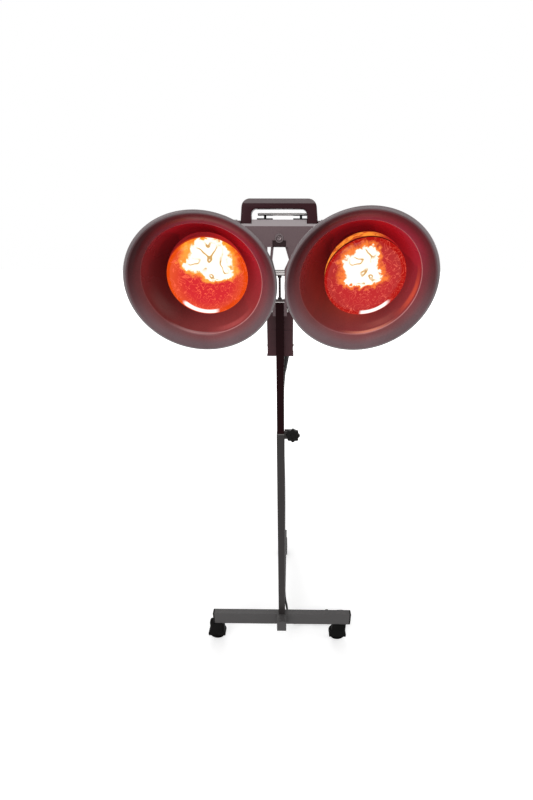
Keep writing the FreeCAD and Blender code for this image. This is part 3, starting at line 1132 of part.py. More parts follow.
    # housing: a flanged can with a ring of vent slots
    can = turned(f"can_{side}", [
        ("housing_radius - housing_wall", HOUSING_FRONT),
        ("flange_radius", HOUSING_FRONT),
        ("flange_radius", f"{HOUSING_FRONT} + flange_thick"),
        ("housing_radius", f"{HOUSING_FRONT} + flange_thick"),
        ("housing_rear", CAP_FRONT),
        ("housing_rear - housing_wall", CAP_FRONT),
    ])
    slots = []
    for i in range(int(size("vent_count"))):
        slot = block(f"slot_{side}_{i}", "vent_width", "vent_length",
                     "housing_radius - housing_rear + 3 * housing_wall",
                     "0", depth("(housing_end - 14 - vent_length / 2)"), "housing_rear - 2 * housing_wall")
        spun = group(f"slot_{side}_{i}_turned", [slot])
        spun.setExpression("Placement.Rotation.Angle", linked(f"{i} * 360 / vent_count"))
        spun.Placement = FreeCAD.Placement(Vector(), Rotation(Vector(0, 1, 0), 1))
        slots.append(spun)
    keep(cut(f"lamp_housing_{side}", can, slots), f"lamp_housing_{side}", head_place)

    # rear cap with the tilt lug
    disc = rod(f"cap_{side}_disc", "housing_rear", "cap_thick", y=CAP_FRONT, along="y")
    spigot = rod(f"cap_{side}_spigot", "housing_rear - housing_wall - plug_gap", "cap_spigot",
                 y=f"{CAP_FRONT} - cap_spigot", along="y")
    lug_bar = block(f"cap_{side}_lug", "2 * lug_half", f"-({CAP_BACK})", "2 * lug_radius",
                    y=f"({CAP_BACK}) / 2", z="-lug_radius")
    lug_end = rod(f"cap_{side}_lug_end", "lug_radius", "2 * lug_half", "-lug_half", "0", "0", "x")
    lug_hole = rod(f"cap_{side}_lug_hole", "pin_radius + running_gap", "2 * lug_half", "-lug_half", "0", "0",
                   "x")
    seat = rod(f"cap_{side}_seat", "housing_radius", "cap_spigot + seat_deep",
               y=depth("(housing_end - 2 * cap_spigot)"), along="y")
    seat = group(f"cap_{side}_seat_leant", [seat])
    seat.Placement = lamp_aim
    keep(cut(f"rear_cap_{side}", joined(f"cap_{side}_body", [disc, spigot, lug_bar, lug_end]),
             [lug_hole, seat]),
         f"rear_cap_{side}", head_place)

    # ceramic lamp holder, its back on the rear cap's spigot, and the bulb
    keep(turned(f"lamp_holder_{side}", [
        ("screw_cap_radius + holder_gap", depth("holder_front")),
        ("holder_radius - holder_bevel", depth("holder_front")),
        ("holder_radius", depth("(holder_front + holder_bevel)")),
        ("holder_radius", depth("(housing_end - cap_spigot + seat_deep)")),
        ("0", depth("(housing_end - cap_spigot + seat_deep)")),
        ("0", depth("(bulb_end + screw_cap_length + contact_high)")),
        ("screw_cap_radius + holder_gap", depth("(bulb_end + screw_cap_length + contact_high)")),
    ]), f"lamp_holder_{side}", lamp_place)
    keep(whole_turn(f"bulb_glass_{side}", bulb_section()), f"bulb_glass_{side}", lamp_place)
    cap_skin = rod(f"bulb_cap_{side}_shell", "screw_cap_radius", "screw_cap_length", y=depth("bulb_end"),
                   along="y")
    stem = rod(f"bulb_cap_{side}_stem", "stem_thick", "stem_deep", y=depth("(bulb_end - stem_deep)"),
               along="y")
    filament = rod(f"filament_{side}", "filament_thick", "filament_long", "-filament_long / 2",
                   depth("(bulb_end - stem_deep)"),
                   "0", "x")
    contact = rod(f"bulb_cap_{side}_contact", "contact_radius", "contact_high",
                  y=depth("(bulb_end + screw_cap_length)"), along="y")
    keep(joined(f"bulb_cap_{side}", [cap_skin, contact, stem, filament]), f"bulb_cap_{side}", lamp_place)

# ---------------------------------------------------------------- mains cord, hank, tie and plug

CORD_ROUTE = [
    (9.5, 26.0, 918.0),
    (6.0, 25.8, 888.0),
    (4.6, 25.2, 830.0),
    (5.2, 24.0, 735.0),
    (7.6, 23.2, 635.0),
    (8.6, 22.8, 535.0),
    (8.1, 23.0, 435.0),
    (8.7, 23.4, 340.0),
    (8.2, 24.2, 255.0),
    (9.2, 26.4, 195.0),
    (11.8, 29.0, 155.0),
    (16.6, 31.4, 124.0),
    (18.0, 32.6, 95.0),
    (19.6, 33.2, 63.0),
    (23.5, 36.4, 36.0),
    (33.0, 42.5, 17.5),
    (48.0, 49.5, 7.4),
    (65.0, 55.5, 4.6),
    (80.0, 55.5, 4.6),
]
HANGS_TO = 9


def cord_path(points):
    """Straight runs joined by tangent arcs, as large as the runs allow; the hanging runs follow the box."""
    corners = [Vector(*point) for point in points]
    low, high = corners[HANGS_TO].z, corners[0].z
    stretch = (value(GLAND_END) - low) / (high - low)
    for corner in corners[:HANGS_TO]:
        corner.z = low + (corner.z - low) * stretch
    corners[0].x, corners[0].y = size("gland_across") - size("gland_lean"), size("gland_back")
    corners[-1].x = size("hank_start")
    edges = []
    start = corners[0]
    radii = []
    for before, corner, after in zip(corners, corners[1:], corners[2:]):
        back, ahead = before - corner, after - corner
        half_turn = (math.pi - back.getAngle(ahead)) / 2
        reach = 0.45 * min(back.Length, ahead.Length)
        radii.append(reach / math.tan(half_turn))
        first = corner + back.normalize() * reach
        last = corner + ahead.normalize() * reach
        inward = (back + ahead).normalize()
        middle = corner + inward * (radii[-1] / math.cos(half_turn) - radii[-1])
        edges += [Part.LineSegment(start, first).toShape(), Part.Arc(first, middle, last).toShape()]
        start = last
    edges.append(Part.LineSegment(start, corners[-1]).toShape())
    print("cord radii", [round(radius) for radius in radii])
    return Part.Wire(edges)


path = cord_path(CORD_ROUTE)
start_way = (path.Edges[0].Vertexes[1].Point - path.Edges[0].Vertexes[0].Point).normalize()
section = Part.Wire(Part.makeCircle(size("cord_radius"), path.Edges[0].Vertexes[0].Point, start_way))
tube = path.makePipeShell([section], True, False)
expected = math.pi * size("cord_radius") ** 2 * path.Length
print(f"cord tube {path.Length:.0f} mm, volume {tube.Volume / expected:.4f} of section times length")
cord = doc.addObject("Part::Feature", "cord_tube")
cord.Shape = tube.Solids[0] if tube.Solids else tube
keep(cord, "cord_tube")

HANK_MIDDLE = "hank_start + hank_length / 2"


def along_x(edge):
    """The four long edges of a box that lies along X."""
    return abs(edge.CenterOfMass.x - size("hank_start") - size("hank_length") / 2) < 1e-6


hank = block("hank_block", "hank_length", "hank_width", "hank_height", HANK_MIDDLE, "hank_back", "tie_wall")
keep(rounded("cord_hank", hank, "hank_round", along_x), "cord_hank")
tie_out = block("tie_outside", "tie_width", "hank_width + 2 * tie_wall", "hank_height + 2 * tie_wall",
                HANK_MIDDLE,
                "hank_back")
tie_out = rounded("tie_soft", tie_out, "hank_round", along_x)
tie_in = block("tie_inside", "tie_width", "hank_width", "hank_height", HANK_MIDDLE, "hank_back", "tie_wall")
tie_in = rounded("tie_room", tie_in, "hank_round", along_x)
keep(cut("hank_tie", tie_out, [tie_in]), "hank_tie")

PLUG_FACE = "hank_start - cordplug_boot - cordplug_length"
plug_body = block("cordplug_body", "cordplug_length", "cordplug_width", "cordplug_thick",
                  f"{PLUG_FACE} + cordplug_length / 2", "cordplug_back")
plug_body = rounded("cordplug_soft", plug_body, "cordplug_round", lambda edge: abs(edge.CenterOfMass.z
                    - size("cordplug_thick") / 2) < 1e-6)
plug_boot = taper("cordplug_boot", "cordplug_thick / 2 - boot_step", "cord_radius", "cordplug_boot",
                  "hank_start - cordplug_boot", "cordplug_back", "cordplug_thick / 2", "x")
prongs = [rod(f"prong_{side}", "prong_radius", "prong_length", f"{PLUG_FACE} - prong_length",
              f"cordplug_back + {sign} * prong_apart / 2", "cordplug_thick / 2", "x")
          for side, sign in (("near", "-1"), ("far", "1"))]
keep(joined("cord_plug", [plug_body, plug_boot] + prongs), "cord_plug")

# ---------------------------------------------------------------- check and write

doc.recompute()
faults = [item.Name for item in doc.Objects if "Invalid" in item.State or "Error" in item.State]
for item in PARTS:
    if item.Shape.isNull() or not item.Shape.isValid() or not item.Shape.Solids:
        faults.append(item.Label)
if faults:
    raise RuntimeError("these did not build: " + ", ".join(faults))
os.makedirs("parts", exist_ok=True)
for item in PARTS:
    item.Shape.exportStep(os.path.join("parts", item.Label + ".step"))
print(len(PARTS), "sub-parts written")
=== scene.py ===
import json
import math

import bmesh
import bpy
from mathutils import Euler, Matrix, Vector
from mathutils.bvhtree import BVHTree

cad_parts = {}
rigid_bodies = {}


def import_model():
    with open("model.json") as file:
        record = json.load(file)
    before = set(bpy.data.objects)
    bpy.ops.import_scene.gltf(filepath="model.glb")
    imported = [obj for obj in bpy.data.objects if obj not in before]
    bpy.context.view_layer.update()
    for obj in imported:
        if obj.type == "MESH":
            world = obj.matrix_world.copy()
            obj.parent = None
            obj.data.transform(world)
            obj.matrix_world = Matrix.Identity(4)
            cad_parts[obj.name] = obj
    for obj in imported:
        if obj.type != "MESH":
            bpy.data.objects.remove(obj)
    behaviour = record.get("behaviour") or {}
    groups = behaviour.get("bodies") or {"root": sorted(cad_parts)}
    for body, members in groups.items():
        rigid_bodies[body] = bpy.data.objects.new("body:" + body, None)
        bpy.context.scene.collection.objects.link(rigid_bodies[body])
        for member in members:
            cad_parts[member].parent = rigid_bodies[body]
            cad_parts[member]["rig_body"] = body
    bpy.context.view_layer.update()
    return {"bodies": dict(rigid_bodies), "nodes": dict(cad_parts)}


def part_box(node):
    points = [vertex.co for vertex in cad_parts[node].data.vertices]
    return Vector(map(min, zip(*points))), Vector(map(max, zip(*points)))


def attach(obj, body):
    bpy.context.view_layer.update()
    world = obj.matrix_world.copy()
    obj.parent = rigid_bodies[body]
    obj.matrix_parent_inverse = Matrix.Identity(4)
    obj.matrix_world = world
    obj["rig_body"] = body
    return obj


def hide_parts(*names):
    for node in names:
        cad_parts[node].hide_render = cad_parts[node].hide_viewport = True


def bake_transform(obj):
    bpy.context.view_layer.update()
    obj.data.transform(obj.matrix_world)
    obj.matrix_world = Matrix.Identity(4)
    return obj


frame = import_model()

# ---------------------------------------------------------------- the room
# A pale floor that takes the stand's shadow, a white surrounding, three large soft lamps
# and the eye of somebody who stands in front of the stand and looks a little down at it.

scene = bpy.context.scene
scene.view_settings.view_transform = "Standard"


def add(tree, kind, inputs=None, **settings):
    """A node with its settings and inputs; a socket is linked, any other input is written."""
    made = tree.nodes.new(kind)
    for name, setting in settings.items():
        setattr(made, name, setting)
    for key, given in (inputs or {}).items():
        if isinstance(given, bpy.types.NodeSocket):
            tree.links.new(given, made.inputs[key])
        else:
            made.inputs[key].default_value = given
    return made


def number(tree, operation, first, second=0.0, clamp=False):
    """One sum in a tree."""
    return add(tree, "ShaderNodeMath", {0: first, 1: second}, operation=operation,
               use_clamp=clamp).outputs[0]


def ramp(tree, taken, start, end, low=0.0, high=1.0, smooth=False):
    """A value that goes from low to high while the taken one goes from start to end."""
    return add(tree, "ShaderNodeMapRange", {0: taken, 1: start, 2: end, 3: low, 4: high},
               interpolation_type="SMOOTHSTEP" if smooth else "LINEAR").outputs[0]


def combined(tree, x=0.0, y=0.0, z=0.0):
    """A vector from its three parts."""
    return add(tree, "ShaderNodeCombineXYZ", {0: x, 1: y, 2: z}).outputs[0]


def parts_of(tree, vector):
    """The three parts of a vector."""
    return add(tree, "ShaderNodeSeparateXYZ", {0: vector}).outputs[:]


def length_of(tree, vector):
    """How long a vector is."""
    return add(tree, "ShaderNodeVectorMath", {0: vector}, operation="LENGTH").outputs["Value"]


def placed(name, data):
    """A new object of the scene."""
    made = bpy.data.objects.new(name, data)
    scene.collection.objects.link(made)
    return made


def seen_directly(tree):
    """1 where the eye meets a surface straight or in a mirror or glass, else 0."""
    light_path = add(tree, "ShaderNodeLightPath").outputs
    mirrored = number(tree, "ADD", light_path["Is Glossy Ray"], light_path["Is Transmission Ray"])
    return number(tree, "ADD", light_path["Is Camera Ray"], mirrored, clamp=True)


AMBIENT = 0.6
surround = bpy.data.worlds.new("white_surround")
scene.world = surround
surround.use_nodes = True
sky = surround.node_tree
level = add(sky, "ShaderNodeMix", {0: seen_directly(sky), 2: AMBIENT, 3: 1.0},
            data_type="FLOAT").outputs[0]
sky.links.new(level, sky.nodes["Background"].inputs["Strength"])
sky.nodes["Background"].inputs["Color"].default_value = (1, 1, 1, 1)

FLOOR_REACH = 30
FLOOR_GREY = (0.82, 0.82, 0.82, 1)
# how much the floor is lifted to white for the eye, under the stand and far from it, and the
# distances in metres between which this changes
FLOOR_LIFT, FAR_LIFT = 0.42, 1.0
LIFT_FROM, LIFT_TO = 0.8, 3.0
floor_mesh = bpy.data.meshes.new("floor")
floor_mesh.from_pydata([(-FLOOR_REACH, -FLOOR_REACH, 0), (FLOOR_REACH, -FLOOR_REACH, 0),
                        (FLOOR_REACH, FLOOR_REACH, 0), (-FLOOR_REACH, FLOOR_REACH, 0)], [],
                       [(0, 1, 2, 3)])
floor = placed("floor", floor_mesh)
floor_paint = bpy.data.materials.new("pale_floor")
floor_paint.use_nodes = True
floor_tree = floor_paint.node_tree
floor_shader = floor_tree.nodes["Principled BSDF"]
floor_shader.inputs["Base Color"].default_value = FLOOR_GREY
floor_shader.inputs["Roughness"].default_value = 0.9
floor_shader.inputs["Specular IOR Level"].default_value = 0.1
floor_place = add(floor_tree, "ShaderNodeTexCoord").outputs["Object"]
away = length_of(floor_tree, floor_place)
by_distance = ramp(floor_tree, away, LIFT_FROM, LIFT_TO, FLOOR_LIFT, FAR_LIFT)
lift = number(floor_tree, "MULTIPLY", seen_directly(floor_tree), by_distance)
floor_shader.inputs["Emission Color"].default_value = (1, 1, 1, 1)
floor_tree.links.new(lift, floor_shader.inputs["Emission Strength"])
floor_mesh.materials.append(floor_paint)

# place, aim, size and power of each lamp
LAMPS = {
    "front_lamp": ((-1.6, -3.0, 2.6), (0, 0, 0.8), 2.4, 44),
    "side_lamp": ((3.0, -0.8, 1.9), (0, 0, 0.8), 2.0, 20),
    "back_lamp": ((-0.8, 3.0, 2.4), (0, 0, 0.8), 2.2, 26),
}
for name, (place, aim, width, power) in LAMPS.items():
    lamp = bpy.data.lights.new(name, "AREA")
    lamp.size = width
    lamp.energy = power
    lamp_object = placed(name, lamp)
    lamp_object.location = place
    lamp_object.rotation_euler = (Vector(aim) - Vector(place)).to_track_quat("-Z", "Y").to_euler()

# the eye: height of the picture, focal length and shift in its points, place in metres, turns in
# degrees
IMAGE_TALL = 800
FOCAL = 390
SHIFT_ACROSS, SHIFT_UP = -21.9, 48
EYE_PLACE = (0.0278, -0.9047, 1.1741)
HEADING, DOWN, ROLL = 0.51, 26.55, 0.18
camera = bpy.data.cameras.new("eye")
camera.sensor_width = 36
camera.lens = FOCAL / IMAGE_TALL * camera.sensor_width
camera.shift_x = SHIFT_ACROSS / IMAGE_TALL
camera.shift_y = SHIFT_UP / IMAGE_TALL
camera.clip_end = 80
eye = placed("eye", camera)
scene.camera = eye
heading, down, roll = math.radians(HEADING), math.radians(DOWN), math.radians(ROLL)
forward = Vector((-math.sin(heading) * math.cos(down), math.cos(heading) * math.cos(down),
                  -math.sin(down)))
level_aim = forward.to_track_quat("-Z", "Y").to_matrix()
eye.rotation_euler = (level_aim @ Matrix.Rotation(roll, 3, "Z")).to_euler()
eye.location = EYE_PLACE

# -------------------------------------------------------- base: joint block, cross bar and spine
# Rectangular steel tube, powder coated in satin dark grey. The cross bar and the long spine are
# welded to the joint block, and moulded black plugs close the open ends.


def group(name, numbers, outputs):
    """An empty shader group: a vector and numbers go in, numbers come out."""
    tree = bpy.data.node_groups.new(name, "ShaderNodeTree")
    tree.interface.new_socket("Vector", in_out="INPUT", socket_type="NodeSocketVector")
    for socket, start in numbers.items():
        made = tree.interface.new_socket(socket, in_out="INPUT", socket_type="NodeSocketFloat")
        made.default_value = start
    for socket in outputs:
        tree.interface.new_socket(socket, in_out="OUTPUT", socket_type="NodeSocketFloat")
    return tree, tree.nodes.new("NodeGroupInput"), tree.nodes.new("NodeGroupOutput")


def noise(tree, place, scale, detail, roughness=0.5, distortion=0.0):
    """Soft random values between 0 and 1."""
    return add(tree, "ShaderNodeTexNoise",
               {"Vector": place, "Scale": scale, "Detail": detail, "Roughness": roughness,
                "Distortion": distortion}).outputs[0]


# sprayed coat: the fine orange peel of a baked powder coat, with slow changes of tone and gloss
sprayed_coat, ends_in, ends_out = group("sprayed_coat", {"Peel": 900.0},
                                        ["Tone", "Gloss", "Height"])
peel = noise(sprayed_coat, ends_in.outputs["Vector"], ends_in.outputs["Peel"], 2.0)
drift = noise(sprayed_coat, ends_in.outputs["Vector"], 9.0, 4.0)
both = add(sprayed_coat, "ShaderNodeMix", {0: 0.3, 2: drift, 3: peel}, data_type="FLOAT")
changes = (("Tone", both.outputs[0], 0.82, 1.18), ("Gloss", drift, -0.09, 0.09))
for given, taken, low, high in changes:
    spread = ramp(sprayed_coat, taken, 0.3, 0.7, low, high)
    sprayed_coat.links.new(spread, ends_out.inputs[given])
sprayed_coat.links.new(peel, ends_out.inputs["Height"])

# settled dust: lies on what faces up, thinner where hands and cloths pass; painted top light:
# a smooth lightening of what faces up, standing for light from above
dust_and_top_light, ends_in, ends_out = group("dust_and_top_light", {"Amount": 0.3}, ["Dust", "TopLight"])
normal = add(dust_and_top_light, "ShaderNodeNewGeometry").outputs["Normal"]
facing_up = parts_of(dust_and_top_light, normal)[2]
upward = ramp(dust_and_top_light, facing_up, 0.35, 0.95)
specks = noise(dust_and_top_light, ends_in.outputs["Vector"], 130.0, 6.0, roughness=0.7)
scatter = ramp(dust_and_top_light, specks, 0.42, 0.68)
lying = number(dust_and_top_light, "MULTIPLY", upward, scatter)
amount = number(dust_and_top_light, "MULTIPLY", lying, ends_in.outputs["Amount"], clamp=True)
dust_and_top_light.links.new(amount, ends_out.inputs["Dust"])
top_light = ramp(dust_and_top_light, facing_up, 0.3, 0.58)
dust_and_top_light.links.new(top_light, ends_out.inputs["TopLight"])

# rubbed patches: small marks where the finish is scuffed brighter
scuffs, ends_in, ends_out = group("scuffs", {"Amount": 0.3}, ["Scuff"])
stretched = add(scuffs, "ShaderNodeMapping",
                {"Vector": ends_in.outputs["Vector"], "Scale": (1.0, 1.0, 0.25)}).outputs[0]
few = ramp(scuffs, noise(scuffs, stretched, 40.0, 8.0, roughness=0.75), 0.6, 0.72)
amount = number(scuffs, "MULTIPLY", few, ends_in.outputs["Amount"])
scuffs.links.new(amount, ends_out.inputs["Scuff"])


def within(tree, shared, inputs):
    """A shared group's outputs inside a tree."""
    return add(tree, "ShaderNodeGroup", inputs, node_tree=shared).outputs


def as_colour(given):
    """A socket as it is, or a plain colour with its fourth value."""
    return given if isinstance(given, bpy.types.NodeSocket) else (*given, 1)


def shade_of(tree, colour, tone):
    """A colour made lighter or darker by a tone round 1, or tinted by a second colour."""
    return add(tree, "ShaderNodeMix", {0: 1.0, 6: as_colour(colour), 7: tone}, data_type="RGBA",
               blend_type="MULTIPLY").outputs[2]


def over(tree, amount, under, upper):
    """One colour laid over another by an amount."""
    return add(tree, "ShaderNodeMix", {0: amount, 6: as_colour(under), 7: as_colour(upper)},
               data_type="RGBA").outputs[2]


DUST_GREY = (0.42, 0.4, 0.38)


def coated(name, colour, roughness, metallic=0.0, peel=900.0, bump=0.00002, dust=0.3, scuff=0.2,
           scuff_colour=(0.3, 0.28, 0.27), coat=0.0, shine=0.5, top_light=0.0,
           top_light_colour=(0.42, 0.38, 0.385)):
    """A finish with the sprayed coat's grain, scuffs, dust, and painted top light on what faces up.
    """
    material = bpy.data.materials.new(name)
    material.use_nodes = True
    tree = material.node_tree
    shader = tree.nodes["Principled BSDF"]
    place = add(tree, "ShaderNodeTexCoord").outputs["Object"]
    grain = within(tree, sprayed_coat, {"Vector": place, "Peel": peel})
    worn = within(tree, scuffs, {"Vector": place, "Amount": scuff})
    dust_and_light = within(tree, dust_and_top_light, {"Vector": place, "Amount": dust})
    toned = shade_of(tree, colour, grain["Tone"])
    scuffed = over(tree, worn["Scuff"], toned, scuff_colour)
    # painted top light: what faces up is made lighter, standing for light from above
    if top_light:
        lit_top = number(tree, "MULTIPLY", dust_and_light["TopLight"], top_light)
        scuffed = over(tree, lit_top, scuffed, top_light_colour)
    dusty_and_lit = over(tree, dust_and_light["Dust"], scuffed, DUST_GREY)
    tree.links.new(dusty_and_lit, shader.inputs["Base Color"])
    gloss = number(tree, "ADD", grain["Gloss"], roughness)
    dulled = add(tree, "ShaderNodeMath", {0: dust_and_light["Dust"], 1: 0.5, 2: gloss},
                 operation="MULTIPLY_ADD", use_clamp=True)
    tree.links.new(dulled.outputs[0], shader.inputs["Roughness"])
    shader.inputs["Metallic"].default_value = metallic
    shader.inputs["Specular IOR Level"].default_value = shine
    shader.inputs["Coat Weight"].default_value = coat
    shader.inputs["Coat Roughness"].default_value = 0.08
    raised = add(tree, "ShaderNodeBump",
                 {"Height": grain["Height"], "Distance": bump, "Strength": 1.0})
    tree.links.new(raised.outputs[0], shader.inputs["Normal"])
    return material


# the least turn between two faces of a solid that counts as an edge
CORNER = math.radians(32)


def worked(node, material, edge):
    """A solid's own faces as one clean piece with narrow rounded edges, in place of the solid."""
    shape = bmesh.new()
    shape.from_mesh(frame["nodes"][node].data)
    bmesh.ops.remove_doubles(shape, verts=shape.verts, dist=0.00002)
    bmesh.ops.dissolve_limit(shape, angle_limit=math.radians(0.6), verts=shape.verts,
                             edges=shape.edges)
    mesh = bpy.data.meshes.new(node + "_finished")
    shape.to_mesh(mesh)
    shape.free()
    mesh.materials.clear()
    mesh.materials.append(material)
    for face in mesh.polygons:
        face.material_index = 0
        face.use_smooth = True
    mesh.set_sharp_from_angle(angle=CORNER)
    piece = placed(mesh.name, mesh)
    soften = piece.modifiers.new("edges", "BEVEL")
    soften.width = edge
    soften.segments = 2
    soften.limit_method = "ANGLE"
    soften.angle_limit = CORNER
    soften.harden_normals = True
    soften.use_clamp_overlap = True
    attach(piece, frame["nodes"][node]["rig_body"])
    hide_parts(node)
    return piece


base_coat = coated("base_powder_coat", (0.06, 0.0565, 0.0565), 0.44, dust=0.05, scuff=0.05,
                   scuff_colour=(0.13, 0.123, 0.12), shine=0.3)
worked("joint_block", base_coat, 0.0014)
worked("cross_bar", base_coat, 0.0024)
worked("spine", base_coat, 0.0024)
black_moulding = coated("black_moulding", (0.005, 0.0042, 0.0042), 0.45, peel=1500.0, bump=0.00003,
                        dust=0.04, scuff=0.1, scuff_colour=(0.03, 0.028, 0.026), shine=0.1)
end_plugs = worked("end_plugs", black_moulding, 0.0006)
# the plug in the spine's front end was sprayed with the base
end_plugs.data.materials.append(base_coat)
for face in end_plugs.data.polygons:
    face.material_index = int(face.center.y < -0.012 and abs(face.center.x) < 0.02)
plain_steel = coated("mill_steel", (0.34, 0.33, 0.32), 0.4, metallic=1.0, dust=0.0, scuff=0.1)
worked("ballast_bar", plain_steel, 0.0005)

# ---------------------------------------------------------------- weld seams
# Rippled beads down the joint block's corners and along the mast's foot. They join the steel
# tubes before spraying, so they carry the base's own coat.


def built(name, verts, faces, materials, body, replaces=(), indices=None, sharp=40):
    """A piece of one's own shape, smooth but for its sharp corners, riding on a body."""
    mesh = bpy.data.meshes.new(name)
    mesh.from_pydata(verts, [], faces)
    for material in materials:
        mesh.materials.append(material)
    if indices:
        mesh.polygons.foreach_set("material_index", indices)
    shape = bmesh.new()
    shape.from_mesh(mesh)
    bmesh.ops.remove_doubles(shape, verts=shape.verts, dist=0.000002)
    bmesh.ops.recalc_face_normals(shape, faces=shape.faces)
    shape.to_mesh(mesh)
    shape.free()
    for face in mesh.polygons:
        face.use_smooth = True
    mesh.set_sharp_from_angle(angle=math.radians(sharp))
    piece = placed(name, mesh)
    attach(piece, body)
    if replaces:
        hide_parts(*replaces)
    return piece


def rings_joined(rows, around, closed=False):
    """Faces between rings of points, with a face at each end unless the last meets the first."""
    faces = []
    for row in range(rows if closed else rows - 1):
        here, there = row * around, (row + 1) % rows * around
        for i in range(around):
            after = (i + 1) % around
            faces.append((here + i, here + after, there + after, there + i))
    if not closed:
        faces += [tuple(range(around))[::-1], tuple(range((rows - 1) * around, rows * around))]
    return faces


WELD_THICK, WELD_AROUND = 0.0016, 8
RIPPLE_PITCH, RIPPLE_ROWS = 0.0022, 6


def bead_along(name, start, end, across):
    """A row of overlapping half-round ripples from one point to another."""
    verts = []
    way = Vector(end) - Vector(start)
    count = max(2, int(way.length / RIPPLE_PITCH * RIPPLE_ROWS))
    side = way.normalized().cross(Vector(across)).normalized()
    out = Vector(across).normalized()
    for row in range(count + 1):
        middle = Vector(start) + way * row / count
        swell = 1 + 0.16 * math.sin(row / RIPPLE_ROWS * math.tau)
        if row in (0, count):
            swell = 0.2
        for i in range(WELD_AROUND):
            angle = math.tau * i / WELD_AROUND
            away = side * math.cos(angle) + out * math.sin(angle)
            verts.append(middle + away * WELD_THICK * swell)
    faces = rings_joined(count + 1, WELD_AROUND)
    built(name, verts, faces, [base_coat], "stand", sharp=80)


bead_along("weld_left", (-0.015, -0.0105, 0.08), (-0.015, -0.0105, 0.12), (-1, -1, 0))
bead_along("weld_right", (0.015, -0.0105, 0.08), (0.015, -0.0105, 0.12), (1, -1, 0))
bead_along("weld_spine_left", (-0.0102, 0.0102, 0.077), (-0.0102, 0.0102, 0.12), (-1, 1, 0))
bead_along("weld_spine_right", (0.0102, 0.0102, 0.077), (0.0102, 0.0102, 0.12), (1, 1, 0))
bead_along("weld_mast_left", (-0.0102, -0.0098, 0.1213), (-0.0102, 0.0098, 0.1213), (-1, 0, 1))
bead_along("weld_mast_right", (0.0102, -0.0098, 0.1213), (0.0102, 0.0098, 0.1213), (1, 0, 1))

# ---------------------------------------------------------------- castors
# Three swivel castors of black nylon: a hooded fork on a steel stem, and a wheel with a soft
# grey-black tread. The stems push into sockets in the base tubes.

castor_plastic = coated("castor_moulding", (0.003, 0.0027, 0.0025), 0.5, peel=1200.0, bump=0.00002,
                        dust=0.02, scuff=0.1, scuff_colour=(0.02, 0.018, 0.017), shine=0.04)
tread_rubber = coated("tread_rubber", (0.014, 0.013, 0.013), 0.62, peel=2000.0, bump=0.00003,
                      dust=0.3, scuff=0.5, scuff_colour=(0.07, 0.065, 0.06), shine=0.2)
worked("castor_sockets", black_moulding, 0.0004)


def turned(profile, place, steps=64, closed=False, wave=None):
    """Points and faces of a profile of radius and height turned about the place's Z axis."""
    verts = []
    for radius, height in profile:
        for i in range(steps):
            angle = math.tau * i / steps
            reach = radius * (wave(angle, radius, height) if wave else 1)
            verts.append(place @ Vector((reach * math.cos(angle), reach * math.sin(angle), height)))
    return verts, rings_joined(len(profile), steps, closed)


def wheel_place(side):
    """Where a wheel's own frame lies: Z runs along its axle."""
    low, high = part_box(f"castor_wheel_{side}")
    turn = Matrix.Rotation(math.radians(90), 4, "Y" if side == "rear" else "X")
    return Matrix.Translation((low + high) / 2) @ turn


WHEEL_RADIUS, HUB = 0.026, 0.008
WHEEL_STEPS = 72
wheel_side = [(0.0031, 0.0085), (0.0055, 0.0085), (HUB, 0.0082), (0.0098, 0.0058), (0.0128, 0.0055),
              (0.0172, 0.0055), (0.0196, 0.006), (0.0206, 0.0081), (0.0216, 0.0085),
              (0.0238, 0.0083)]
tread_line = [(0.0238, 0.0083), (0.0251, 0.0074), (0.0258, 0.005), (WHEEL_RADIUS, 0.002)]
half = wheel_side + tread_line[1:]
wheel_profile = half + [(r, -h) for r, h in reversed(half)]
tread_from, tread_to = len(wheel_side) - 1, len(wheel_profile) - len(wheel_side)
indices = [1 if tread_from <= row < tread_to else 0
           for row in range(len(wheel_profile)) for _ in range(WHEEL_STEPS)]
for side in ("left", "right", "rear"):
    worked(f"castor_fork_{side}", castor_plastic, 0.0007)
    verts, faces = turned(wheel_profile, wheel_place(side), steps=WHEEL_STEPS, closed=True)
    built(f"wheel_{side}", verts, faces, [castor_plastic, tread_rubber],
          frame["nodes"][f"castor_wheel_{side}"]["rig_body"], [f"castor_wheel_{side}"],
          indices)

# ---------------------------------------------------------------- wheel webs
# Ten thin ribs stiffen each wheel's disc between its hub and its rim. They are moulded in one
# with the nylon wheel and turn with it.


def socket_names(tree):
    """The identifier of each named input of a tree."""
    return {item.name: item.identifier for item in tree.interface.items_tree
            if item.item_type == "SOCKET" and item.in_out == "INPUT"}


def evaluated(ob):
    """The mesh that an object's modifiers or settings make of it."""
    bpy.context.view_layer.update()
    depsgraph = bpy.context.evaluated_depsgraph_get()
    return bpy.data.meshes.new_from_object(ob.evaluated_get(depsgraph))


def grown(name, tree, sizes, place, body):
    """A tree's result as a plain mesh, set in its place and riding on a body."""
    seed = placed(name, bpy.data.meshes.new(name))
    growth = seed.modifiers.new("growth", "NODES")
    growth.node_group = tree
    names = socket_names(tree)
    for size, given in sizes.items():
        growth[names[size]] = given
    result = evaluated(seed)
    seed.modifiers.remove(growth)
    seed.data = result
    result.name = name
    result.transform(place)
    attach(seed, body)
    return seed


def sized_tree(name, sizes):
    """A geometry tree with one geometry output and named number inputs."""
    tree = bpy.data.node_groups.new(name, "GeometryNodeTree")
    tree.interface.new_socket("Geometry", in_out="OUTPUT", socket_type="NodeSocketGeometry")
    for size, start in sizes.items():
        kind = "NodeSocketInt" if isinstance(start, int) else "NodeSocketFloat"
        made = tree.interface.new_socket(size, in_out="INPUT", socket_type=kind)
        made.default_value = start
    return tree, tree.nodes.new("NodeGroupInput"), tree.nodes.new("NodeGroupOutput")


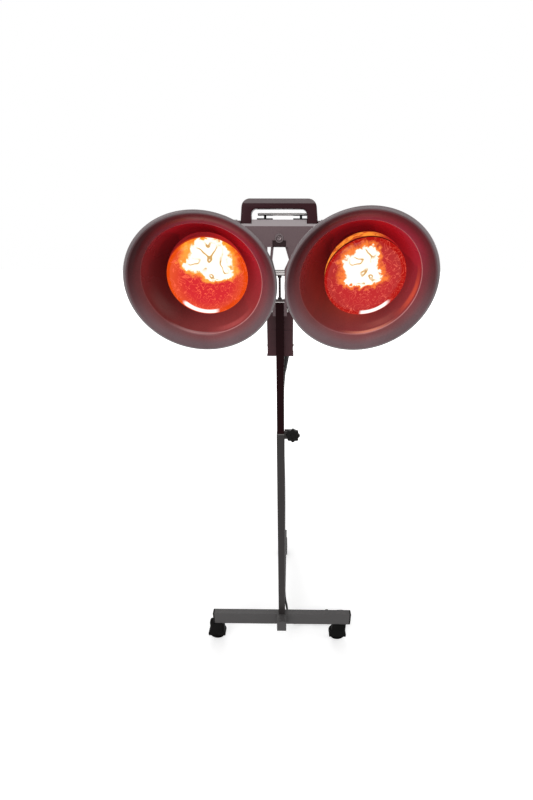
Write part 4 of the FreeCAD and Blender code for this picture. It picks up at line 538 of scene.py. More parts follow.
def set_on(tree, inputs, material, result):
    """The tree's result: a shape on every point, made real and given its material."""
    spread = add(tree, "GeometryNodeInstanceOnPoints", inputs)
    real = add(tree, "GeometryNodeRealizeInstances", {0: spread.outputs[0]})
    dressed = add(tree, "GeometryNodeSetMaterial",
                  {"Geometry": real.outputs[0], "Material": material})
    tree.links.new(dressed.outputs[0], result.inputs[0])


def ribs_round(name, material):
    """A tree that sets flat ribs round the Z axis, each from an inner to an outer radius."""
    tree, given, result = sized_tree(name, {"Count": 10, "Inner": 0.008, "Outer": 0.02,
                                            "Thick": 0.001, "High": 0.002})
    inner, outer = given.outputs["Inner"], given.outputs["Outer"]
    length = number(tree, "SUBTRACT", outer, inner)
    middle = number(tree, "MULTIPLY", number(tree, "ADD", outer, inner), 0.5)
    size = combined(tree, length, given.outputs["Thick"], given.outputs["High"])
    rib = add(tree, "GeometryNodeMeshCube", {"Size": size})
    moved = add(tree, "GeometryNodeTransform",
                {"Geometry": rib.outputs[0], "Translation": combined(tree, middle)})
    dots = add(tree, "GeometryNodePoints", {"Count": given.outputs["Count"]})
    index = add(tree, "GeometryNodeInputIndex").outputs[0]
    turn = number(tree, "MULTIPLY", number(tree, "DIVIDE", index, given.outputs["Count"]), math.tau)
    set_on(tree, {"Points": dots.outputs[0], "Instance": moved.outputs[0],
                  "Rotation": combined(tree, z=turn)}, material, result)
    return tree


wheel_webs = ribs_round("wheel_webs", castor_plastic)
for side in ("left", "right", "rear"):
    grown(f"wheel_webs_{side}", wheel_webs,
          {"Count": 10, "Inner": HUB - 0.0005, "Outer": 0.0205, "Thick": 0.0011, "High": 0.0142},
          wheel_place(side), frame["nodes"][f"castor_wheel_{side}"]["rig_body"])

# -------------------------------------------------------- mast: outer tube, sliding inner tube
# A square outer tube coated like the base and a square inner tube in dark glossy enamel that
# slides in it. A moulded bush and a slide foot keep them apart.

mast_coat = coated("mast_powder_coat", (0.028, 0.024, 0.024), 0.4, dust=0.15, scuff=0.22,
                   scuff_colour=(0.09, 0.083, 0.08), shine=0.22)
worked("outer_tube", mast_coat, 0.0009)
enamel = coated("inner_tube_enamel", (0.012, 0.0009, 0.0019), 0.26, peel=400.0, bump=0.000008,
                dust=0.03, scuff=0.1, scuff_colour=(0.03, 0.012, 0.014), shine=0.05)
worked("inner_tube", enamel, 0.0012)
bush_nylon = coated("bush_nylon", (0.13, 0.125, 0.12), 0.45, peel=1500.0, bump=0.00002, dust=0.1,
                    shine=0.3)
worked("guide_bush", bush_nylon, 0.0004)
worked("slide_foot", black_moulding, 0.0005)

# ---------------------------------------------------------------- clamp and star knob
# Two steel lugs welded to the outer tube are drawn together by a zinc-plated screw. The screw is
# moulded into an eight-lobed knob of black plastic.

zinc_plate = coated("zinc_plate", (0.4, 0.4, 0.385), 0.3, metallic=1.0, peel=300.0, bump=0.000004,
                    dust=0.08, scuff=0.3, scuff_colour=(0.3, 0.28, 0.25))
lugs = worked("clamp_lugs", mast_coat, 0.0006)
# the lugs are cut level with the knob's upper lobes
LUG_TOP = 0.7725
for vertex in lugs.data.vertices:
    vertex.co.z = min(vertex.co.z, LUG_TOP)
KNOB_MIDDLE = Vector((0.031, -0.027, 0.7675))
KNOB_LOBES = 8


def bent(points, steps=6):
    """A profile with its corners eased: more points on a smooth line through the given ones."""
    line = []
    for i in range(len(points) - 1):
        before = Vector(points[max(i - 1, 0)])
        start, end = Vector(points[i]), Vector(points[i + 1])
        after = Vector(points[min(i + 2, len(points) - 1)])
        for k in range(steps):
            t = k / steps
            line.append(tuple(0.5 * (2 * start + (end - before) * t
                                     + (2 * before - 5 * start + 4 * end - after) * t * t
                                     + (3 * start - before - 3 * end + after) * t ** 3)))
    return line + [tuple(points[-1])]


def lobed(angle, radius, height):
    """How far a ring of the knob stands out at each lobe; the hub stays round."""
    share = min(1, max(0, (radius - 0.006) / 0.008))
    return 1 + share * (0.085 * math.cos(KNOB_LOBES * angle) - 0.05)


knob_profile = [(0.0001, 0.0022), (0.0035, 0.0022), (0.0062, 0.002), (0.0075, 0.0006),
                (0.0092, 0.0003), (0.0122, 0.0008), (0.0148, 0.0002), (0.0162, 0.0009),
                (0.017, 0.0028), (0.0172, 0.0065), (0.017, 0.0102), (0.016, 0.0122),
                (0.0145, 0.013), (0.009, 0.013), (0.0068, 0.0133), (0.0065, 0.0142),
                (0.0065, 0.0197), (0.0032, 0.0197)]
knob_place = Matrix.Translation(KNOB_MIDDLE) @ Matrix.Rotation(math.radians(-90), 4, "X")
verts, faces = turned(bent(knob_profile, 3), knob_place, steps=128, wave=lobed)
built("star_knob", verts, faces, [black_moulding], "knob", ["clamp_knob"],
      sharp=60)
screw_profile = [(0.0005, 0.0195), (0.003, 0.0195), (0.003, 0.0383), (0.0025, 0.039),
                 (0.0005, 0.039)]
verts, faces = turned(screw_profile, knob_place, steps=24)
threaded = coated("threaded_zinc", (0.34, 0.34, 0.33), 0.32, metallic=1.0, dust=0.0, scuff=0.1)
thread_tree = threaded.node_tree
thread_place = add(thread_tree, "ShaderNodeTexCoord").outputs["Object"]
THREAD_PITCH = 0.001
ridges = add(thread_tree, "ShaderNodeTexWave",
             {"Vector": thread_place, "Scale": 1 / THREAD_PITCH / math.tau * 2, "Distortion": 0.0},
             wave_type="BANDS", bands_direction="DIAGONAL")
thread_bump = add(thread_tree, "ShaderNodeBump", {"Height": ridges.outputs[1], "Distance": 0.0004})
thread_tree.links.new(thread_bump.outputs[0], thread_tree.nodes["Principled BSDF"].inputs["Normal"])
built("knob_screw", verts, faces, [threaded], "knob")

# ---------------------------------------------------------------- switch box
# Two shells of dark moulded plastic close round the mast below the straps, held by side screws.
# Two framed switches stand on its back, and a nylon block inside joins the wires.

case_moulding = coated("case_moulding", (0.075, 0.029, 0.034), 0.38, peel=1300.0, bump=0.00003,
                       dust=0.1, scuff=0.08, scuff_colour=(0.1, 0.07, 0.07), shine=0.15)
worked("switch_box_upper", case_moulding, 0.0014)
worked("switch_box_lower", case_moulding, 0.0012)
worked("switch_bodies", black_moulding, 0.0004)
white_nylon = coated("white_nylon", (0.6, 0.58, 0.52), 0.4, dust=0.0)
worked("terminal_block", white_nylon, 0.0003)

# ---------------------------------------------------------------- rockers
# A glossy dark red rocker for each lamp, pivoted in its framed switch on the box's back. A stroke
# and a ring are printed on its two halves for on and off.

rocker_gloss = coated("rocker_gloss", (0.16, 0.008, 0.01), 0.2, peel=600.0, bump=0.000005,
                      dust=0.05, scuff=0.05, coat=0.5)
mark_white = coated("mark_white", (0.75, 0.74, 0.7), 0.5, dust=0.0, scuff=0.0)
INK_OUT, INK_IN = 0.00006, 0.0002
MARK_STEPS = 28


def printed(name, under, places, faces, body):
    """A mark on a back face: its points are dropped on the face and stand out as thick as ink."""
    face_below = BVHTree.FromObject(under, bpy.context.evaluated_depsgraph_get())
    on_face = [face_below.ray_cast(Vector((x, 0.2, z)), Vector((0, -1, 0)))[0] for x, z in places]
    count = len(places)
    verts = [point + Vector((0, INK_OUT, 0)) for point in on_face]
    verts += [point - Vector((0, INK_IN, 0)) for point in on_face]
    edge_count = {}
    for face in faces:
        for pair in zip(face, face[1:] + face[:1]):
            key = tuple(sorted(pair))
            edge_count[key] = edge_count.get(key, 0) + 1
    sides = [(a, b, b + count, a + count) for (a, b), uses in edge_count.items() if uses == 1]
    under_faces = [tuple(i + count for i in reversed(face)) for face in faces]
    return built(name, verts, faces + under_faces + sides, [mark_white], body)


for side in ("left", "right"):
    rocker = worked(f"rocker_{side}", rocker_gloss, 0.0007)
    low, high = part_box(f"rocker_{side}")
    middle = (low + high) / 2
    body = f"rocker_{side}_body"
    # on and off marks printed on the two halves of the rocker
    stroke = [(-0.0005, 0.0), (0.0005, 0.0), (0.0005, 0.0021), (0.0005, 0.0042), (-0.0005, 0.0042),
              (-0.0005, 0.0021)]
    printed(f"on_mark_{side}", rocker, [(middle.x + x, middle.z + 0.0026 + z) for x, z in stroke],
            [(0, 1, 2, 5), (5, 2, 3, 4)], body)
    turns = [math.tau * i / MARK_STEPS for i in range(MARK_STEPS)]
    ring = [(middle.x + r * math.sin(turn), middle.z - 0.0047 + r * math.cos(turn))
            for r in (0.0014, 0.0021) for turn in turns]
    printed(f"off_mark_{side}", rocker, ring,
            [(i, (i + 1) % MARK_STEPS, (i + 1) % MARK_STEPS + MARK_STEPS, i + MARK_STEPS)
             for i in range(MARK_STEPS)], body)

# ---------------------------------------------------------------- case screws
# Zinc-plated screws with domed heads and a hexagon socket hold the box's shells from behind.
# Plainer ones hold the straps and the handle.


def screw_heads(name, material):
    """A tree that sets socket-headed screws on a grid of columns and rows."""
    tree, given, result = sized_tree(name, {"Columns": 2, "Rows": 2, "Across": 0.04, "Up": 0.08,
                                            "Head": 0.0028, "High": 0.0012})
    wide, high = given.outputs["Head"], given.outputs["High"]
    half_high = number(tree, "MULTIPLY", high, 0.5)
    rim = add(tree, "GeometryNodeMeshCylinder", {"Vertices": 24, "Radius": wide, "Depth": high})
    top = add(tree, "GeometryNodeMeshCone",
              {"Vertices": 24, "Radius Top": number(tree, "MULTIPLY", wide, 0.72),
               "Radius Bottom": wide, "Depth": half_high})
    lifted = add(tree, "GeometryNodeTransform",
                 {"Geometry": top.outputs[0], "Translation": combined(tree, z=half_high)})
    socket = add(tree, "GeometryNodeMeshCylinder",
                 {"Vertices": 6, "Radius": number(tree, "MULTIPLY", wide, 0.42), "Depth": high})
    sunk = add(tree, "GeometryNodeTransform",
               {"Geometry": socket.outputs[0], "Translation": combined(tree, z=high)})
    head = add(tree, "GeometryNodeJoinGeometry")
    tree.links.new(rim.outputs[0], head.inputs[0])
    tree.links.new(lifted.outputs[0], head.inputs[0])
    hollow = add(tree, "GeometryNodeMeshBoolean", operation="DIFFERENCE")
    tree.links.new(head.outputs[0], hollow.inputs[0])
    tree.links.new(sunk.outputs[0], hollow.inputs[1])
    places = add(tree, "GeometryNodeMeshGrid",
                 {"Size X": given.outputs["Across"], "Size Y": given.outputs["Up"],
                  "Vertices X": given.outputs["Columns"], "Vertices Y": given.outputs["Rows"]})
    set_on(tree, {"Points": places.outputs[0], "Instance": hollow.outputs[0]}, material, result)
    return tree


socket_screws = screw_heads("socket_screws", zinc_plate)
back_face = Matrix.Rotation(math.radians(-90), 4, "X")
grown("case_screws", socket_screws, {"Columns": 2, "Rows": 2, "Across": 0.046, "Up": 0.1,
                                     "Head": 0.0026, "High": 0.0012},
      Matrix.Translation((0, 0.0544, 1.016)) @ back_face, "mast")
worked("frame_screws", zinc_plate, 0.0004)

# ---------------------------------------------------------------- mains cord
# A black rubber-sheathed cord of 7 mm. It leaves the box downwards, hangs behind the mast, passes
# the spine and lies on the floor, its spare length folded twice over and tied.

cord_rubber = coated("cord_rubber", (0.015, 0.014, 0.014), 0.52, peel=1600.0, bump=0.00002,
                     dust=0.15, scuff=0.1, scuff_colour=(0.05, 0.05, 0.05))
CORD_DIAMETER = 0.007
CORD_EXIT = (0.0095, 0.026, 0.918)
cord_way = [
    CORD_EXIT,
    (0.006, 0.0258, 0.888), (0.0046, 0.0252, 0.83), (0.0052, 0.024, 0.735),
    (0.0076, 0.0232, 0.635), (0.0084, 0.0228, 0.535), (0.0078, 0.023, 0.435),
    (0.0082, 0.0234, 0.34), (0.0076, 0.0242, 0.255), (0.008, 0.0262, 0.195),
    (0.0098, 0.0285, 0.15), (0.015, 0.0312, 0.118), (0.0172, 0.0325, 0.092),
    (0.0196, 0.0332, 0.063), (0.0235, 0.0364, 0.036), (0.033, 0.0425, 0.0175),
    (0.048, 0.0495, 0.0074), (0.065, 0.0555, 0.0046),
    # first layer of the folded spare length
    (0.12, 0.0553, 0.0046), (0.17, 0.0558, 0.0046), (0.2032, 0.0553, 0.0046),
    (0.2227, 0.0555, 0.0046), (0.2365, 0.0693, 0.0046), (0.2365, 0.0887, 0.0046),
    (0.2227, 0.1025, 0.0046), (0.2032, 0.1027, 0.0046), (0.17, 0.102, 0.0046),
    (0.1283, 0.1027, 0.0046), (0.1083, 0.1025, 0.0046), (0.0945, 0.0887, 0.0046),
    (0.0945, 0.0693, 0.0078), (0.1083, 0.0562, 0.0116),
    # second layer on the first, wider at the folds than under the tie, and the end at the plug
    (0.1278, 0.0568, 0.0117), (0.155, 0.0588, 0.0112), (0.18, 0.0592, 0.0111),
    (0.2025, 0.0565, 0.0117), (0.2213, 0.0562, 0.0118), (0.2345, 0.0695, 0.0118),
    (0.2345, 0.0885, 0.0118), (0.2213, 0.1018, 0.0118), (0.2025, 0.1012, 0.0117),
    (0.18, 0.0987, 0.0111), (0.15, 0.0992, 0.0111), (0.132, 0.0988, 0.0112),
    (0.116, 0.0978, 0.0118), (0.1025, 0.0885, 0.0131), (0.0915, 0.0853, 0.0122),
    (0.08, 0.085, 0.007),
]
cord_line = bpy.data.curves.new("mains_cord_line", "CURVE")
cord_line.dimensions = "3D"
run = cord_line.splines.new("NURBS")
run.points.add(len(cord_way) - 1)
for point, place in zip(run.points, cord_way):
    point.co = (*place, 1)
run.order_u = 3
run.use_endpoint_u = True
run.resolution_u = 12
cord_line.resolution_u = 12
cord_curve = placed("mains_cord_line", cord_line)
cord_path = [tuple(vertex.co) for vertex in evaluated(cord_curve).vertices]
cord_line.bevel_depth = CORD_DIAMETER / 2
cord_line.bevel_resolution = 5
cord_line.use_fill_caps = True
sheath = evaluated(cord_curve)
bpy.data.objects.remove(cord_curve)
sheath.name = "mains_cord"
sheath.materials.clear()
sheath.materials.append(cord_rubber)
for face in sheath.polygons:
    face.use_smooth = True
mains_cord = placed("mains_cord", sheath)
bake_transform(mains_cord)
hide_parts("cord_tube", "cord_hank")

# ---------------------------------------------------------------- strain relief
# A flanged collar under the box and a tapered boot, moulded in rubber round the cord. Rings cut
# into the boot let it bend without a kink.

GLAND_TOP = Vector((0.0145, 0.026, 0.958))
down_way = Vector(CORD_EXIT) - (GLAND_TOP - Vector((0, 0, 0.004)))
boot_place = (Matrix.Translation(GLAND_TOP - Vector((0, 0, 0.004)))
              @ down_way.to_track_quat("Z", "Y").to_matrix().to_4x4())
boot_long = down_way.length
boot_profile = [(0.0004, -0.001), (0.006, -0.001)]
RINGS = 8
for i in range(RINGS):
    start = 0.002 + i * (boot_long - 0.004) / RINGS
    wide = 0.006 - 0.0014 * i / RINGS
    boot_profile += [(wide, start), (wide, start + 0.0022), (wide - 0.0009, start + 0.0027),
                     (wide - 0.0009, start + 0.0037)]
boot_profile += [(0.0046, boot_long - 0.001), (0.0042, boot_long), (0.0004, boot_long)]
collar_profile = [(0.0004, 0.0), (0.0075, 0.0), (0.0075, -0.003), (0.007, -0.004), (0.0004, -0.004)]
shoulder_profile = [(0.0004, 0.005), (0.0075, 0.005), (0.0075, 0.0015), (0.006, 0.0015),
                    (0.006, 0.0), (0.0004, 0.0)]
verts, faces = turned(boot_profile, boot_place, steps=40)
for profile in (collar_profile, shoulder_profile):
    more_verts, more_faces = turned(profile, Matrix.Translation(GLAND_TOP), steps=40)
    faces += [tuple(i + len(verts) for i in face) for face in more_faces]
    verts += more_verts
relief = built("strain_relief", verts, faces, [cord_rubber], "mast", ["cord_gland"],
               sharp=30)

# ---------------------------------------------------------------- mains plug and tie
# A plug moulded on the cord's end, with finger ridges, a stepped boot and two round plated pins.
# A coarse black strap is drawn round the folded spare length.

PLUG_MIDDLE = Vector((0.051, 0.085, 0.007))
plug_rows = [(-0.017, 0.9), (-0.0165, 0.97), (-0.015, 1.0), (-0.002, 1.0), (0.004, 0.97),
             (0.0085, 0.9), (0.0105, 0.84), (0.0115, 0.93), (0.0128, 0.93), (0.0138, 0.8),
             (0.0148, 0.9), (0.0158, 0.88), (0.017, 0.72), (0.0182, 0.5), (0.0196, 0.46),
             (0.0235, 0.42), (0.029, 0.34)]
plug_verts = []
PLUG_AROUND = 48
PLUG_HALF_WIDE, PLUG_HALF_TALL, PLUG_BOOT = 0.015, 0.0069, 0.0185
for along, share in plug_rows:
    half_wide = max(PLUG_HALF_WIDE * share, 0.0042)
    half_tall = max(PLUG_HALF_TALL * min(1, share + 0.12), 0.0042)
    if along > PLUG_BOOT:
        half_wide = half_tall = 0.0062 - 0.0016 * (along - PLUG_BOOT) / 0.0105
    for i in range(PLUG_AROUND):
        angle = math.tau * i / PLUG_AROUND
        cos, sin = math.cos(angle), math.sin(angle)
        power = 0.5 if along < PLUG_BOOT else 1.0
        y = half_wide * math.copysign(abs(cos) ** power, cos)
        z = half_tall * math.copysign(abs(sin) ** power, sin)
        plug_verts.append(PLUG_MIDDLE + Vector((along, y, z)))
plug_piece = built("mains_plug", plug_verts, rings_joined(len(plug_rows), PLUG_AROUND),
                   [cord_rubber], "stand", ["cord_plug"], sharp=50)
pin_profile = [(0.0003, 0.0), (0.0021, 0.0), (0.0021, 0.0085), (0.0019, 0.0088), (0.002, 0.0092),
               (0.002, 0.0175), (0.0016, 0.0187), (0.0003, 0.019)]
for hand, y in (("near", 0.0755), ("far", 0.0945)):
    pin_place = Matrix.Translation((0.0345, y, 0.007)) @ Matrix.Rotation(math.radians(-90), 4, "Y")
    verts, faces = turned(pin_profile, pin_place, steps=24)
    built(f"plug_pin_{hand}", verts, faces, [zinc_plate], "stand")
tie_strap = coated("tie_strap", (0.02, 0.019, 0.02), 0.75, peel=2600.0, bump=0.00025, dust=0.1)
worked("hank_tie", tie_strap, 0.0003)

# ---------------------------------------------------------------- mast top
# A capped inner tube with a bright plate, a draw rod with nuts under a cross spacer, and two bent
# side straps in grey hammer coat that carry the mount block of the lamp bracket.

bright_steel = coated("bright_steel", (0.5, 0.47, 0.46), 0.2, metallic=1.0, peel=250.0,
                      bump=0.000003, dust=0.0, scuff=0.15, scuff_colour=(0.5, 0.48, 0.46))
# painted top light: faces that look up are painted much lighter, standing for light from above
hammer_coat = coated("hammer_coat", (0.155, 0.103, 0.11), 0.42, peel=420.0, bump=0.00005, dust=0.1,
                     scuff=0.16, scuff_colour=(0.24, 0.19, 0.19), shine=0.35, top_light=0.8,
                     top_light_colour=(0.52, 0.47, 0.48))
worked("mast_plug", bright_steel, 0.0006)
blackened_rod = coated("blackened_rod", (0.06, 0.045, 0.045), 0.4, metallic=0.6, peel=300.0,
                       dust=0.0, scuff=0.3, scuff_colour=(0.2, 0.18, 0.18), shine=0.2)
worked("draw_rod", blackened_rod, 0.0004)
worked("cross_spacer", bright_steel, 0.0008)
worked("side_straps", hammer_coat, 0.0009)
# the block's near-black coat also stands for the shade in the recess behind the bracket's notch
block_and_recess_shade = coated("mount_block_coat", (0.03, 0.013, 0.015), 0.4, dust=0.08, shine=0.2)
worked("mount_block", block_and_recess_shade, 0.0006)

# ---------------------------------------------------------------- lamp bracket
# Folded sheet steel in grey hammer coat: a plate with a bevelled shoulder, side skirts and two
# forked ears that hold the arms, fixed to the mount block by a domed screw.

worked("lamp_bracket", hammer_coat, 0.0007)

# ---------------------------------------------------------------- bracket screw and rear rail
# A nickel-plated dome screw with a hexagon socket and a washer holds the bracket to the mount
# block. Behind the handle a bright steel rail lies on two black blocks.

DOME_PLACE = Matrix.Translation((0, -0.0140, 1.201)) @ Matrix.Rotation(math.radians(90), 4, "X")


def hexagon(angle, radius, height):
    """A six-sided socket for the rings inside the screw's head."""
    if radius > 0.0029:
        return 1
    return math.cos(math.radians(30)) / math.cos((angle % math.radians(60)) - math.radians(30))


dome_profile = [(0.0001, 0.0032), (0.0027, 0.0032), (0.0028, 0.0056), (0.0032, 0.0058),
                (0.0045, 0.0049), (0.0055, 0.0034), (0.006, 0.0018), (0.006, 0.0015),
                (0.0084, 0.0015), (0.0085, 0.0012), (0.0085, 0.0), (0.0001, 0.0)]
verts, faces = turned(dome_profile, DOME_PLACE, steps=72, wave=hexagon)
dull_nickel = coated("dull_nickel", (0.17, 0.135, 0.14), 0.2, metallic=1.0, peel=300.0,
                     bump=0.000006, dust=0.05, scuff=0.2, scuff_colour=(0.12, 0.1, 0.1))
built("dome_screw_head", verts, faces, [dull_nickel], "mast", ["dome_screw"], sharp=38)
rail_steel = coated("rail_steel", (0.66, 0.65, 0.64), 0.2, metallic=1.0, peel=250.0, bump=0.000003,
                    dust=0.05)
worked("rear_rail", rail_steel, 0.0004)
worked("rail_blocks", black_moulding, 0.0006)

# ---------------------------------------------------------------- carrying handle
# A moulded grip of near-black glass-filled plastic, bevelled along its top front edge and screwed
# to the bracket's shoulder from below.

# painted highlight: faces that look up are painted lighter, standing for light from above
grip_moulding = coated("grip_moulding", (0.036, 0.0085, 0.012), 0.3, peel=700.0, bump=0.00002,
                       dust=0.05, scuff=0.1, scuff_colour=(0.09, 0.05, 0.05), shine=0.12, top_light=0.3)
worked("carry_handle", grip_moulding, 0.0008)

# ---------------------------------------------------------------- arms and knuckles
# Forged swing arms pinned in the bracket's ears, each with a knuckle that lets its head turn and
# tilt. Coated like the bracket; the pins are zinc plated.

worked("arm_pins", zinc_plate, 0.0005)
for side in ("left", "right"):
    worked(f"swing_arm_{side}", hammer_coat, 0.0009)
    worked(f"knuckle_{side}", hammer_coat, 0.0008)
    worked(f"knuckle_pins_{side}", zinc_plate, 0.0005)

# ---------------------------------------------------------------- lamp heads
# Each head is a spun aluminium shade with a flared rim band, a step and a deep bowl, on a vented
# housing. The bowl's dark red inside is partly lacquer and partly the lamps' red glow, painted in;
# the band and the outside are satin grey, the band with painted red glow above and painted shade at
# one side.

HEADS = {
    "left": {"pivot": (-0.138727, -0.075279, 1.224), "yaw": 9.0, "tilt": 27.4,
             "lean": 2.8, "droop": 0.0},
    "right": {"pivot": (0.136814, -0.07998, 1.224), "yaw": -2.4, "tilt": 26.4,
              "lean": 3.5, "droop": 0.9},
}
# from the tilt pin forward to the rim, to the lamp's foot, and from the rim back to the step
REACH = 0.22
LAMP_FOOT = 0.194
STEP_DEPTH = 0.015


def head_turn(side):
    """The angles of a head about X, Y and Z."""
    return Euler((math.radians(HEADS[side]["tilt"]), 0, math.radians(HEADS[side]["yaw"])))


def head_place(side, lean=Matrix()):
    """Where a head's own frame lies: Z runs backwards from the plane of its rim."""
    back = Matrix.Translation((0, -REACH, 0)) @ Matrix.Rotation(math.radians(-90), 4, "X")
    turn = head_turn(side).to_matrix().to_4x4()
    return Matrix.Translation(HEADS[side]["pivot"]) @ turn @ lean @ back


# turned marks: the fine rings that spinning leaves round the head's own axis
SPUN_PITCH = 0.0009
spun_rings, ends_in, ends_out = group("spun_rings", {}, ["Tone", "Height"])
x, y, z = parts_of(spun_rings, ends_in.outputs["Vector"])
along = number(spun_rings, "SUBTRACT", length_of(spun_rings, combined(spun_rings, x, z)), y)
turns = number(spun_rings, "DIVIDE", along, SPUN_PITCH)
lines = noise(spun_rings, combined(spun_rings, turns), 1.0, 3.0)
line_tone = ramp(spun_rings, lines, 0.3, 0.7, 0.9, 1.1)
spun_rings.links.new(line_tone, ends_out.inputs["Tone"])
spun_rings.links.new(lines, ends_out.inputs["Height"])


def own_axes(tree, side, aimed=False):
    """Coordinates in a head's own frame, or in its lamp's, which leans a little in its holder."""
    place = add(tree, "ShaderNodeTexCoord").outputs["Object"]
    local = add(tree, "ShaderNodeMapping", {"Vector": place, "Location": HEADS[side]["pivot"],
                                            "Rotation": tuple(head_turn(side))},
                vector_type="TEXTURE").outputs[0]
    if aimed:
        angles = (math.radians(HEADS[side]["droop"]), 0, math.radians(HEADS[side]["lean"]))
        local = add(tree, "ShaderNodeMapping", {"Vector": local,
                                                "Location": (0, LAMP_FOOT - REACH, 0),
                                                "Rotation": angles},
                    vector_type="TEXTURE").outputs[0]
    return local


def spun(name, side, colour, roughness, metallic, shine=0.4, scuff_colour=(0.3, 0.24, 0.24)):
    """Spun sheet with its rings, scuffs and a slow change of tone."""
    material = coated(name, colour, roughness, metallic=metallic, peel=500.0, bump=0.00001,
                      dust=0.05, scuff=0.12, scuff_colour=scuff_colour, shine=shine)
    tree = material.node_tree
    shader = tree.nodes["Principled BSDF"]
    rings = within(tree, spun_rings, {"Vector": own_axes(tree, side)})
    before = shader.inputs["Base Color"].links[0].from_socket
    tree.links.new(shade_of(tree, before, rings["Tone"]), shader.inputs["Base Color"])
    old_bump = shader.inputs["Normal"].links[0].from_socket
    fine = add(tree, "ShaderNodeBump",
               {"Height": rings["Height"], "Distance": 0.00003, "Normal": old_bump})
    tree.links.new(fine.outputs[0], shader.inputs["Normal"])
    return material


BAND_GREY = (0.175, 0.115, 0.125)
# painted light: the lamps' red glow on band and bowl, and painted shade toward the head's -X side
BAND_RED_GLOW = (0.12, 0.014, 0.019)
BAND_SIDE_SHADE = (0.042, 0.009, 0.011)
BOWL_GLOW_TOP = (0.36, 0.028, 0.055)
BOWL_GLOW_LOW = (0.27, 0.055, 0.056)
BOWL_SIDE_SHADE = (0.11, 0.028, 0.025)
STEP_HIGHLIGHT = (0.6, 0.3, 0.3)
# painted sheens and highlights of the bowl: their angle about the head's axis and spread in
# degrees, their depth behind the rim from and to, their colour and strength
PAINTED_SHEENS = {
    "left": [(-58, 34, 0.016, 0.027, (0.5, 0.12, 0.12), 0.75),
             (-104, 36, 0.0125, 0.018, (0.5, 0.34, 0.34), 0.65),
             (-146, 30, 0.02, 0.052, (0.19, 0.085, 0.08), 0.75),
             (28, 34, 0.0155, 0.02, (0.42, 0.08, 0.085), 0.6)],
    "right": [(-12, 36, 0.0165, 0.028, (0.7, 0.13, 0.07), 0.9),
              (-72, 36, 0.0135, 0.02, (0.85, 0.36, 0.24), 0.85),
              (-60, 30, 0.02, 0.034, (0.4, 0.12, 0.1), 0.6),
              (66, 44, 0.015, 0.0185, (0.3, 0.07, 0.07), 0.7)],
}


def distance(tree, first, second):
    """How far two numbers are apart."""
    return number(tree, "ABSOLUTE", number(tree, "SUBTRACT", first, second))


def inside_lacquer_and_glow(side):
    """The shade's inside: a grey band, a red bowl, and painted glow, shade and sheens on both."""
    material = spun(f"inside_lacquer_and_glow_{side}", side, (1.0, 1.0, 1.0), 0.26, 0.0, shine=0.07,
                    scuff_colour=(1.35, 1.3, 1.3))
    tree = material.node_tree
    shader = tree.nodes["Principled BSDF"]
    worn = shader.inputs["Base Color"].links[0].from_socket
    local = own_axes(tree, side)
    x, y, z = parts_of(tree, local)
    behind = number(tree, "ADD", y, REACH)
    uneven = ramp(tree, noise(tree, local, 9.0, 2.0), 0.0, 1.0, -0.004, 0.004)
    swayed = number(tree, "ADD", behind, uneven)
    in_bowl = ramp(tree, swayed, 0.002, 0.02, smooth=True)
    # painted light: red glow strongest above, paler below, and painted shade toward the head's -X
    # side
    low = ramp(tree, z, 0.07, -0.08, smooth=True)
    outer = ramp(tree, x, 0.0, -0.085, smooth=True)
    lip = ramp(tree, behind, 0.0006, 0.0026, 1.0, 0.0)
    lower_band = over(tree, low, BAND_RED_GLOW, BAND_GREY)
    not_low = number(tree, "SUBTRACT", 1.0, low)
    band_side_shade = number(tree, "MULTIPLY", outer, not_low)
    inner_band = over(tree, band_side_shade, lower_band, BAND_SIDE_SHADE)
    band = over(tree, lip, inner_band, BAND_GREY)
    bowl_glow = over(tree, low, BOWL_GLOW_TOP, BOWL_GLOW_LOW)
    side_shade_share = number(tree, "MULTIPLY", outer, 0.75)
    red = over(tree, side_shade_share, bowl_glow, BOWL_SIDE_SHADE)
    red_inside = over(tree, in_bowl, band, red)
    angle = number(tree, "ARCTAN2", z, x)
    # painted sheens and highlights where the lamps' light falls in the bowl
    for middle, spread, near, far, colour, strength in PAINTED_SHEENS[side]:
        away = distance(tree, angle, math.radians(middle))
        round_share = ramp(tree, away, 0.0, math.radians(spread), strength, 0.0, smooth=True)
        off = distance(tree, swayed, (near + far) / 2)
        deep_share = ramp(tree, off, (far - near) * 0.15, (far - near) * 0.6, 1.0, 0.0, smooth=True)
        sheen = number(tree, "MULTIPLY", round_share, deep_share)
        red_inside = over(tree, sheen, red_inside, colour)
    # a painted highlight along the step's edge, stronger toward the head's +X side
    on_step = ramp(tree, distance(tree, behind, STEP_DEPTH), 0.0004, 0.0011, 1.0, 0.0)
    lit_side = ramp(tree, x, -0.05, 0.07, 0.1, 0.85)
    thin = number(tree, "MULTIPLY", on_step, lit_side)
    lined = over(tree, thin, red_inside, STEP_HIGHLIGHT)
    tree.links.new(shade_of(tree, lined, worn), shader.inputs["Base Color"])
    return material


SHADE_WALL = 0.0012
flare = [(0.111, 0.0), (0.103, 0.0052), (0.096, 0.0114), (0.0912, 0.0143)]
bowl_shares = [(0, 0), (0.07, 0.12), (0.21, 0.36), (0.42, 0.62), (0.68, 0.84), (0.88, 0.96), (1, 1)]
bowl = [(0.0905 - 0.0485 * a, 0.0158 + 0.0882 * b) for a, b in bowl_shares]
throat = [(0.031, 0.104)]


def outward(line, wall):
    """The far side of a sheet whose near side is the line."""
    far = []
    for i, (radius, height) in enumerate(line):
        before, after = Vector(line[max(i - 1, 0)]), Vector(line[min(i + 1, len(line) - 1)])
        way = (after - before).normalized()
        far.append((radius - way.y * -wall, height + way.x * -wall))
    return far


inner_line = bent(flare, 6) + bent(bowl, 8) + throat
outer_line = outward(inner_line, SHADE_WALL)[::-1]
